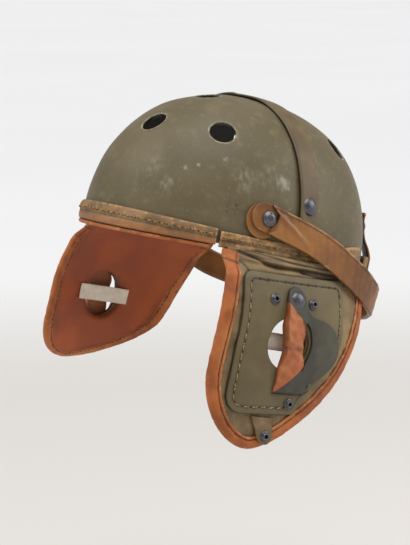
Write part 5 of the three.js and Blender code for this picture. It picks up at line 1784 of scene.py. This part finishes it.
@dataclass
class ChinStrap:
    """The whole chin strap, its layered ends and its rivets, sizes in mm."""

    finishes: Finishes
    width: float = 23.6
    thickness: float = 2.2
    lean_degrees: float = 5.0
    spread: tuple = (HALF_WIDTH + 11.5, HALF_LENGTH + 11.0, 35.5)
    rivet_along: float = -46.0
    rivet_height: float = 26.0
    rivet_diameter: float = 13.0
    backing_diameter: float = 31.0
    backing_thickness: float = 2.0
    backing_shift: float = 4.3
    backing_fall: float = 3.2

    def build(self) -> None:
        """Builds the strap along its route, then both seats."""
        share = plan_share(self.rivet_height, 0)
        self.seat = wall_point(angle_along(self.rivet_along, share), self.rivet_height, 0)
        self.normal = dome_normal(self.seat)
        rivet = self.seat + self.normal * (self.backing_thickness + 3 * CLEARANCE)
        half = np.array(CHIN_ROUTE) * np.array(self.spread) * np.array([1, 1, -1])
        run = half[0] - rivet
        run = unit(run - self.normal * (run @ self.normal)) * self.backing_diameter / 2
        near = np.vstack([rivet - run, rivet, rivet + run, half])
        far = near[:-1][::-1] * np.array([-1, 1, 1])
        self.line = catmull(np.vstack([near, far]), fine=60)
        self.reach = np.concatenate([[0], np.cumsum(np.linalg.norm(np.diff(self.line, axis=0), axis=1))])
        self.length = self.reach[-1]
        LOG.info("chin strap loop: %.0f mm", self.length)
        self._strap()
        self._upper_layer()
        forward = -unit(run)
        rise = unit(np.array([0, 0, 1]) - self.normal * self.normal[2])
        for side in Side:
            flip = np.array([side.value, 1, 1])
            seat = (self.seat + self.normal * 2 * CLEARANCE + forward * self.backing_shift
                    - rise * self.backing_fall)
            turned(f"chin_washer_{side.label}", WASHER_PROFILE, self.backing_diameter / 2 - 1, seat * flip,
                   self.normal * flip, self.finishes.saddle, [f"chin_backing_{side.label}"], 90)
            lift = self.backing_thickness + self.thickness + 3 * CLEARANCE + 0.8
            turned(f"chin_cap_{side.label}", WORN_CAP_PROFILE, self.rivet_diameter / 2,
                   (self.seat + self.normal * lift) * flip, self.normal * flip, self.finishes.metal,
                   [f"chin_rivet_{side.label}"], 14)

    def _frames(self, reach: Array) -> tuple:
        """The strap's place and directions.

        Args:
            reach: distances along it.

        Returns:
            Its place, its upward and its outward direction at each.
        """

        def at(where: Array) -> Array:
            """Points of the strap's middle line."""
            return np.stack([np.interp(where, self.reach, self.line[:, axis]) for axis in range(3)], -1)

        place = at(reach)
        run = unit(at(np.minimum(reach + 0.5, self.length)) - at(np.maximum(reach - 0.5, 0)))
        to_end = np.minimum(reach, self.length - reach)
        freed = smooth(self.backing_diameter, self.length / 4, to_end)[..., None]
        free = unit(np.cross(run, (0, 0, 1.0)))
        free = unit(free - np.array([0, 0, math.tan(math.radians(self.lean_degrees))]))
        seated = self.normal * np.where(reach < self.length / 2, 1, -1)[..., None] ** np.array([1, 2, 2])
        out = seated * (1 - freed) + free * freed
        out = unit(out - run * np.sum(out * run, -1, keepdims=True))
        return place, unit(np.cross(out, run)), out

    def _strap(self) -> None:
        """Adds the whole strap, its ends round."""
        round_end = self.width / 2
        ends = round_end * np.linspace(0, 1, 16) ** 2
        reach = np.concatenate([ends, np.linspace(round_end, self.length - round_end, 420)[1:-1],
                                self.length - ends[::-1]])[:, None]
        to_end = np.minimum(reach, self.length - reach)
        short = np.maximum(1 - to_end / round_end, 0)
        half = round_end * np.maximum(np.sqrt(np.maximum(1 - short**2, 0)), 0.08)
        section = ribbon_section(self.thickness, 0.8, 26)
        across = section[None, :, 0] * np.maximum(half - section[None, :, 1], 0.1)
        place, up, out = self._frames(np.broadcast_to(reach, (len(reach), len(section))))
        around = np.stack(np.broadcast_arrays(reach, across), -1)
        top = section[None, :, 2] > 1.5
        crown = 0.35 * (1 - (across / round_end) ** 2) * top
        waves = 0.25 * ripple(around, 40, 71) + 0.12 * ripple(around, 11, 72)
        offset = section[None, :, 2] + crown + top * waves
        points = place + up * across[..., None] + out * offset[..., None]
        rim = np.exp(-(half - np.abs(across)) / 1.6)
        wear = top * (0.75 * rim + 0.3 * ripple(around, 22, 73) + 0.35 * smooth(2, 10, across))
        dirt = 0.55 * bump(section[None, :, 2] - 1.6, 0.5) * (section[None, :, 1] > 0) + 0 * reach
        marks = {Mark.WEAR: wear + 0 * across, Mark.DIRT: dirt + 0 * across}
        loft("chin_leather_strap", points, self.finishes.saddle, ["chin_strap"], marks)

    def _upper_layer(self) -> None:
        """The second leather on the outside of the strap, cut slanting beside each rivet."""
        section = ribbon_section(1.2, 0.55, 30)
        count = 420
        half = self.width / 2 - 0.2
        side = section[None, :, 0] * (half - section[None, :, 1])
        upper = side / half
        begin = self.backing_diameter / 2 + 8 - 9.5 * smooth(0.4, 1, upper) - 5 * smooth(-0.6, -1, upper)
        share = np.linspace(0, 1, count)[:, None]
        reach = begin + (self.length - 2 * begin) * share
        to_end = np.minimum(reach - begin, self.length - begin - reach)
        place, up, out = self._frames(reach)
        around = np.stack(np.broadcast_arrays(reach, side), -1)
        top = section[None, :, 2] > 0.5
        lip = 0.9 * bump(to_end - 2, 3.0) * top
        ridge = 1.5 * bump(side - 6 + 0.35 * to_end, 2.2) * smooth(45, 5, to_end)
        groove = bump(side - half + 2.4, 0.55) * smooth(190, 120, to_end) * top
        waves = 0.25 * ripple(around, 40, 71) + 0.15 * ripple(around, 9, 74)
        offset = (self.thickness + 0.25 + section[None, :, 2] + lip + ridge - 0.5 * groove
                  + top * waves)
        points = place + up * (side + 0 * reach)[..., None] + out * offset[..., None]
        rim = np.exp(-(half - np.abs(side)) / 1.5)
        wear = 0.7 * rim + 0.45 * bump(to_end, 2.5) + 0.35 * ripple(around, 24, 75)
        wear = wear + 0.5 * bump(ridge - 1.2, 0.5) + 0.4 * smooth(3, 11, side)
        dirt = 0.9 * (section[None, :, 2] < 0.4) + 0.75 * groove + 0 * reach
        loft("chin_upper_leather", points, self.finishes.saddle,
             marks={Mark.WEAR: wear + 0 * reach, Mark.DIRT: dirt + 0 * side})


@dataclass
class NeckGuard:
    """The padded guard behind the shell, its straps and snaps, sizes in mm."""

    finishes: Finishes
    width: float = 120.0
    top: float = 12.0
    drop: float = 67.0
    corner: float = 18.0
    standoff: float = 3.4
    thickness: float = 4.5
    seam_inset: float = 6.0
    strap_width: float = 14.0
    strap_thickness: float = 2.0
    strap_across: float = 46.0
    strap_length: float = 54.0
    strap_lap: float = 16.0
    strap_seat: float = 0.9
    snap_up: float = 42.0
    snap_diameter: float = 10.0
    seam: Seam = Seam(5.2, 3.2, 0.45)

    def build(self) -> None:
        """Builds the guard, then a strap and a snap on each side."""
        self._guard()
        for side in Side:
            self._strap(side)

    @staticmethod
    def _at(across: Array, height: Array, offset: Array) -> Array:
        """A point behind the shell, hanging straight below the rim.

        Args:
            across: how far left of the middle.
            height: how far above the rim.
            offset: how far off the wall.

        Returns:
            The point, or an array of points.
        """
        points = wall_point(angle_across(across), np.minimum(height, 0), offset)
        points[..., 2] = height
        return points

    def _guard(self) -> None:
        """Adds the padded guard and its seam."""
        half = self.width / 2
        across = half * np.sin(math.pi * (np.linspace(0, 1, 150) - 0.5))[:, None]
        past = np.maximum(np.abs(across) - (half - self.corner), 0) / self.corner
        foot = self.top - self.drop + self.corner * (1 - np.sqrt(np.maximum(1 - past**2, 0)))
        section = ribbon_section(self.thickness, 1.6, 50)
        tall = (self.top - foot) / 2
        height = (self.top + foot) / 2 + section[None, :, 0] * (tall - section[None, :, 1])
        from_middle = np.abs(height - (self.top + foot) / 2)
        to_edge = np.minimum(half - np.abs(across), tall - from_middle)
        place = np.stack(np.broadcast_arrays(across, height), -1)
        top = section[None, :, 2] > 2
        groove = bump(to_edge - self.seam_inset, 1.1)
        puff = 0.9 * smooth(5, 20, to_edge) - 0.7 * groove + 0.3 * ripple(place, 24, 81)
        offset = self.standoff + section[None, :, 2] + top * puff
        offset = offset - 1.4 * bump(half - np.abs(across), 1.2) * top
        marks = {Mark.WEAR: (0.8 * np.exp(-to_edge / 1.4) + 0.3 * ripple(place, 14, 82)) * top,
                 Mark.DIRT: 0.5 * groove * top + 0.4 * ~top}
        points = self._at(across, height, offset)
        piece = loft("guard_leather", points, self.finishes.painted, ["neck_guard"], marks)
        inset = self.seam_inset
        corner = self.corner - inset
        low = self.top - self.drop + inset
        turn = np.linspace(0, math.pi / 2, 10)[:, None]
        right = np.hstack([half - inset - corner + corner * np.cos(turn),
                           low + corner - corner * np.sin(turn)])
        left = right[::-1] * np.array([-1, 1])
        line = np.vstack([[half - inset, self.top - inset], right, left, [-half + inset, self.top - inset],
                          [half - inset, self.top - inset]])
        line = along_line(line, 300)
        points = self._at(line[:, 0], line[:, 1], self.standoff + self.thickness - 0.1)
        out = unit(points * np.array([1, 1, 0]))
        self.seam.sew("guard_seam", points, out, self.finishes.thread, self.finishes.hole)

    def _strap(self, side: Side) -> None:
        """Adds a strap from the guard's face up to the shell, and its snap.

        Args:
            side: which strap.
        """
        rows = np.array(GUARD_STRAP_ROWS)
        share = np.linspace(0, 1, 70)[:, None]
        out = np.interp(share, rows[:, 0], rows[:, 1])
        kernel = np.ones(7) / 7
        out[:, 0] = np.convolve(np.pad(out[:, 0], 3, "edge"), kernel, "valid")
        section = ribbon_section(self.strap_thickness, 0.7, 14)
        half = self.strap_width / 2 * (1 - 0.25 * bump(np.minimum(share, 1 - share), 0.02))
        across = self.strap_across + section[None, :, 0] * (half - section[None, :, 1])
        height = self.top - self.strap_lap + share * self.strap_length
        face = self.standoff + self.thickness + self.strap_seat
        offset = self.strap_seat + (face - self.strap_seat) * out + section[None, :, 2] + 0.3
        level = np.where(out > 0.98, 0, height)
        points = wall_point(angle_across(across, plan_share(level, offset)), level + 0 * offset, offset)
        points[..., 2] = height
        flip = np.array([side.value, 1, 1])
        rim = np.exp(-(half - np.abs(across - self.strap_across)) / 1.2)
        marks = {Mark.WEAR: 0.8 * rim + 0 * share, Mark.DIRT: 0.7 * (section[None, :, 2] < 0.5) + 0 * across}
        loft(f"guard_leather_strap_{side.label}", points * flip, self.finishes.saddle,
             [f"guard_strap_{side.label}"], marks)
        up = self.top - self.strap_lap + self.snap_up
        lift = self.strap_seat + self.strap_thickness + CLEARANCE
        seat = wall_point(angle_across(self.strap_across, plan_share(up, lift)), up, lift)
        turned(f"guard_cap_{side.label}", CAP_PROFILE, self.snap_diameter / 2, seat * flip,
               dome_normal(seat) * flip, self.finishes.metal, [f"guard_snap_{side.label}"])


@dataclass(frozen=True)
class Softbox:
    """A square lamp that faces the helmet: its place and size in metres, its power in watts."""

    name: str
    sideways: float
    up: float
    ahead: float
    size: float
    power: float


@dataclass
class Studio:
    """The photo's camera, its soft light and a pale floor under the helmet.

    Angles are in degrees, the camera's sizes in mm and the floor's in metres.
    """

    azimuth: float = 50.0
    elevation: float = 11.6
    distance: float = 1400.0
    pixels_per_mm: float = 1.15
    photo: tuple = (410, 545)
    photo_centre: tuple = (223.0, 241.9)
    sensor: float = 36.0
    floor_level: float = -0.42
    floor_reach: float = 60.0
    floor_fade: tuple = (2050, 1050)
    sun_power: float = 2.12
    sun_angle: float = 60.0
    world: str = "#EDEEF0"
    world_strength: float = 0.42
    softboxes: tuple = (Softbox("key_softbox", -0.95, 0.9, 0.07, 0.6, 3.9),
                        Softbox("fill_softbox", 1.15, 0.55, -0.05, 0.75, 5.2))

    def build(self) -> None:
        """Sets the camera, the lights, the world and the floor."""
        azimuth, elevation = math.radians(self.azimuth), math.radians(self.elevation)
        back = Vector((math.sin(azimuth) * math.cos(elevation), -math.cos(azimuth) * math.cos(elevation),
                       math.sin(elevation)))
        right = Vector((math.cos(azimuth), math.sin(azimuth), 0))
        up = back.cross(right)
        data = bpy.data.cameras.new("photo_camera")
        data.lens = self.sensor * self.pixels_per_mm * self.distance / self.photo[1]
        data.sensor_width = self.sensor
        data.clip_start, data.clip_end = 0.01, 100
        camera = bpy.data.objects.new("photo_camera", data)
        shift = ((self.photo_centre[0] - self.photo[0] / 2) / self.pixels_per_mm,
                 (self.photo[1] / 2 - self.photo_centre[1]) / self.pixels_per_mm)
        place = back * self.distance - right * shift[0] - up * shift[1]
        turn = Matrix((right, up, back)).transposed().to_4x4()
        camera.matrix_world = Matrix.Translation(place * MM) @ turn
        bpy.context.collection.objects.link(camera)
        bpy.context.scene.camera = camera
        self.flat, self.right = Vector((back.x, back.y, 0)).normalized(), right
        for softbox in self.softboxes:
            self._softbox(softbox)
        self._daylight()
        self._floor()

    def _softbox(self, softbox: Softbox) -> None:
        """Adds a square lamp.

        Args:
            softbox: its place, size and power.
        """
        data = bpy.data.lights.new(softbox.name, "AREA")
        data.size, data.energy = softbox.size, softbox.power
        lamp = bpy.data.objects.new(softbox.name, data)
        lamp.location = (self.right * softbox.sideways + self.flat * softbox.ahead
                         + Vector((0, 0, softbox.up)))
        lamp.rotation_mode = "QUATERNION"
        lamp.rotation_quaternion = (-lamp.location).to_track_quat("-Z", "Y")
        bpy.context.collection.objects.link(lamp)

    def _daylight(self) -> None:
        """Adds the soft light from above and the pale world."""
        sun = bpy.data.lights.new("soft_daylight", "SUN")
        sun.energy, sun.angle = self.sun_power, math.radians(self.sun_angle)
        lamp = bpy.data.objects.new("soft_daylight", sun)
        lamp.rotation_mode = "QUATERNION"
        above = self.flat * 0.1 + self.right * 0.05 + Vector((0, 0, 1))
        lamp.rotation_quaternion = above.to_track_quat("Z", "Y")
        bpy.context.collection.objects.link(lamp)
        world = bpy.data.worlds.new("pale_studio")
        world.use_nodes = True
        shade = world.node_tree.nodes["Background"]
        shade.inputs["Color"].default_value = linear(self.world)
        shade.inputs["Strength"].default_value = self.world_strength
        bpy.context.scene.world = world
        bpy.context.scene.view_settings.view_transform = "Standard"

    def _floor(self) -> None:
        """Adds the floor, a little darker near the helmet as painted shade."""
        mesh = bpy.data.meshes.new("studio_floor")
        reach, level = self.floor_reach, self.floor_level
        mesh.from_pydata([(-reach, -reach, level), (reach, -reach, level), (reach, reach, level),
                          (-reach, reach, level)], [], [(0, 1, 2, 3)])
        shades = Shades("pale_floor")
        tone = shades.mix(shades.between(shades.noise(900, 2), 0.3, 0.7), "#EFEFEE", "#F1F1F0")
        # Painted shade: the paper darkens towards #D3CFCA near the helmet.
        away = add_node(shades.tree, "ShaderNodeVectorMath", {"operation": "LENGTH"},
                        {0: shades.place}).outputs["Value"]
        tone = shades.mix(shades.between(away, *self.floor_fade), tone, "#D3CFCA")
        mesh.materials.append(shades.finish(tone, 0.8))
        floor = bpy.data.objects.new("studio_floor", mesh)
        bpy.context.collection.objects.link(floor)


def main() -> None:
    """Builds the studio and then the helmet, piece by piece."""
    Studio().build()
    finishes = Finishes()
    flaps = [EarFlap(side, finishes) for side in Side]
    for part in (Shell(finishes), CrownStrap(finishes), RimBands(finishes), *flaps, ChinStrap(finishes),
                 NeckGuard(finishes)):
        LOG.info("building %s", type(part).__name__)
        part.build()


if __name__ == "__main__":
    main()
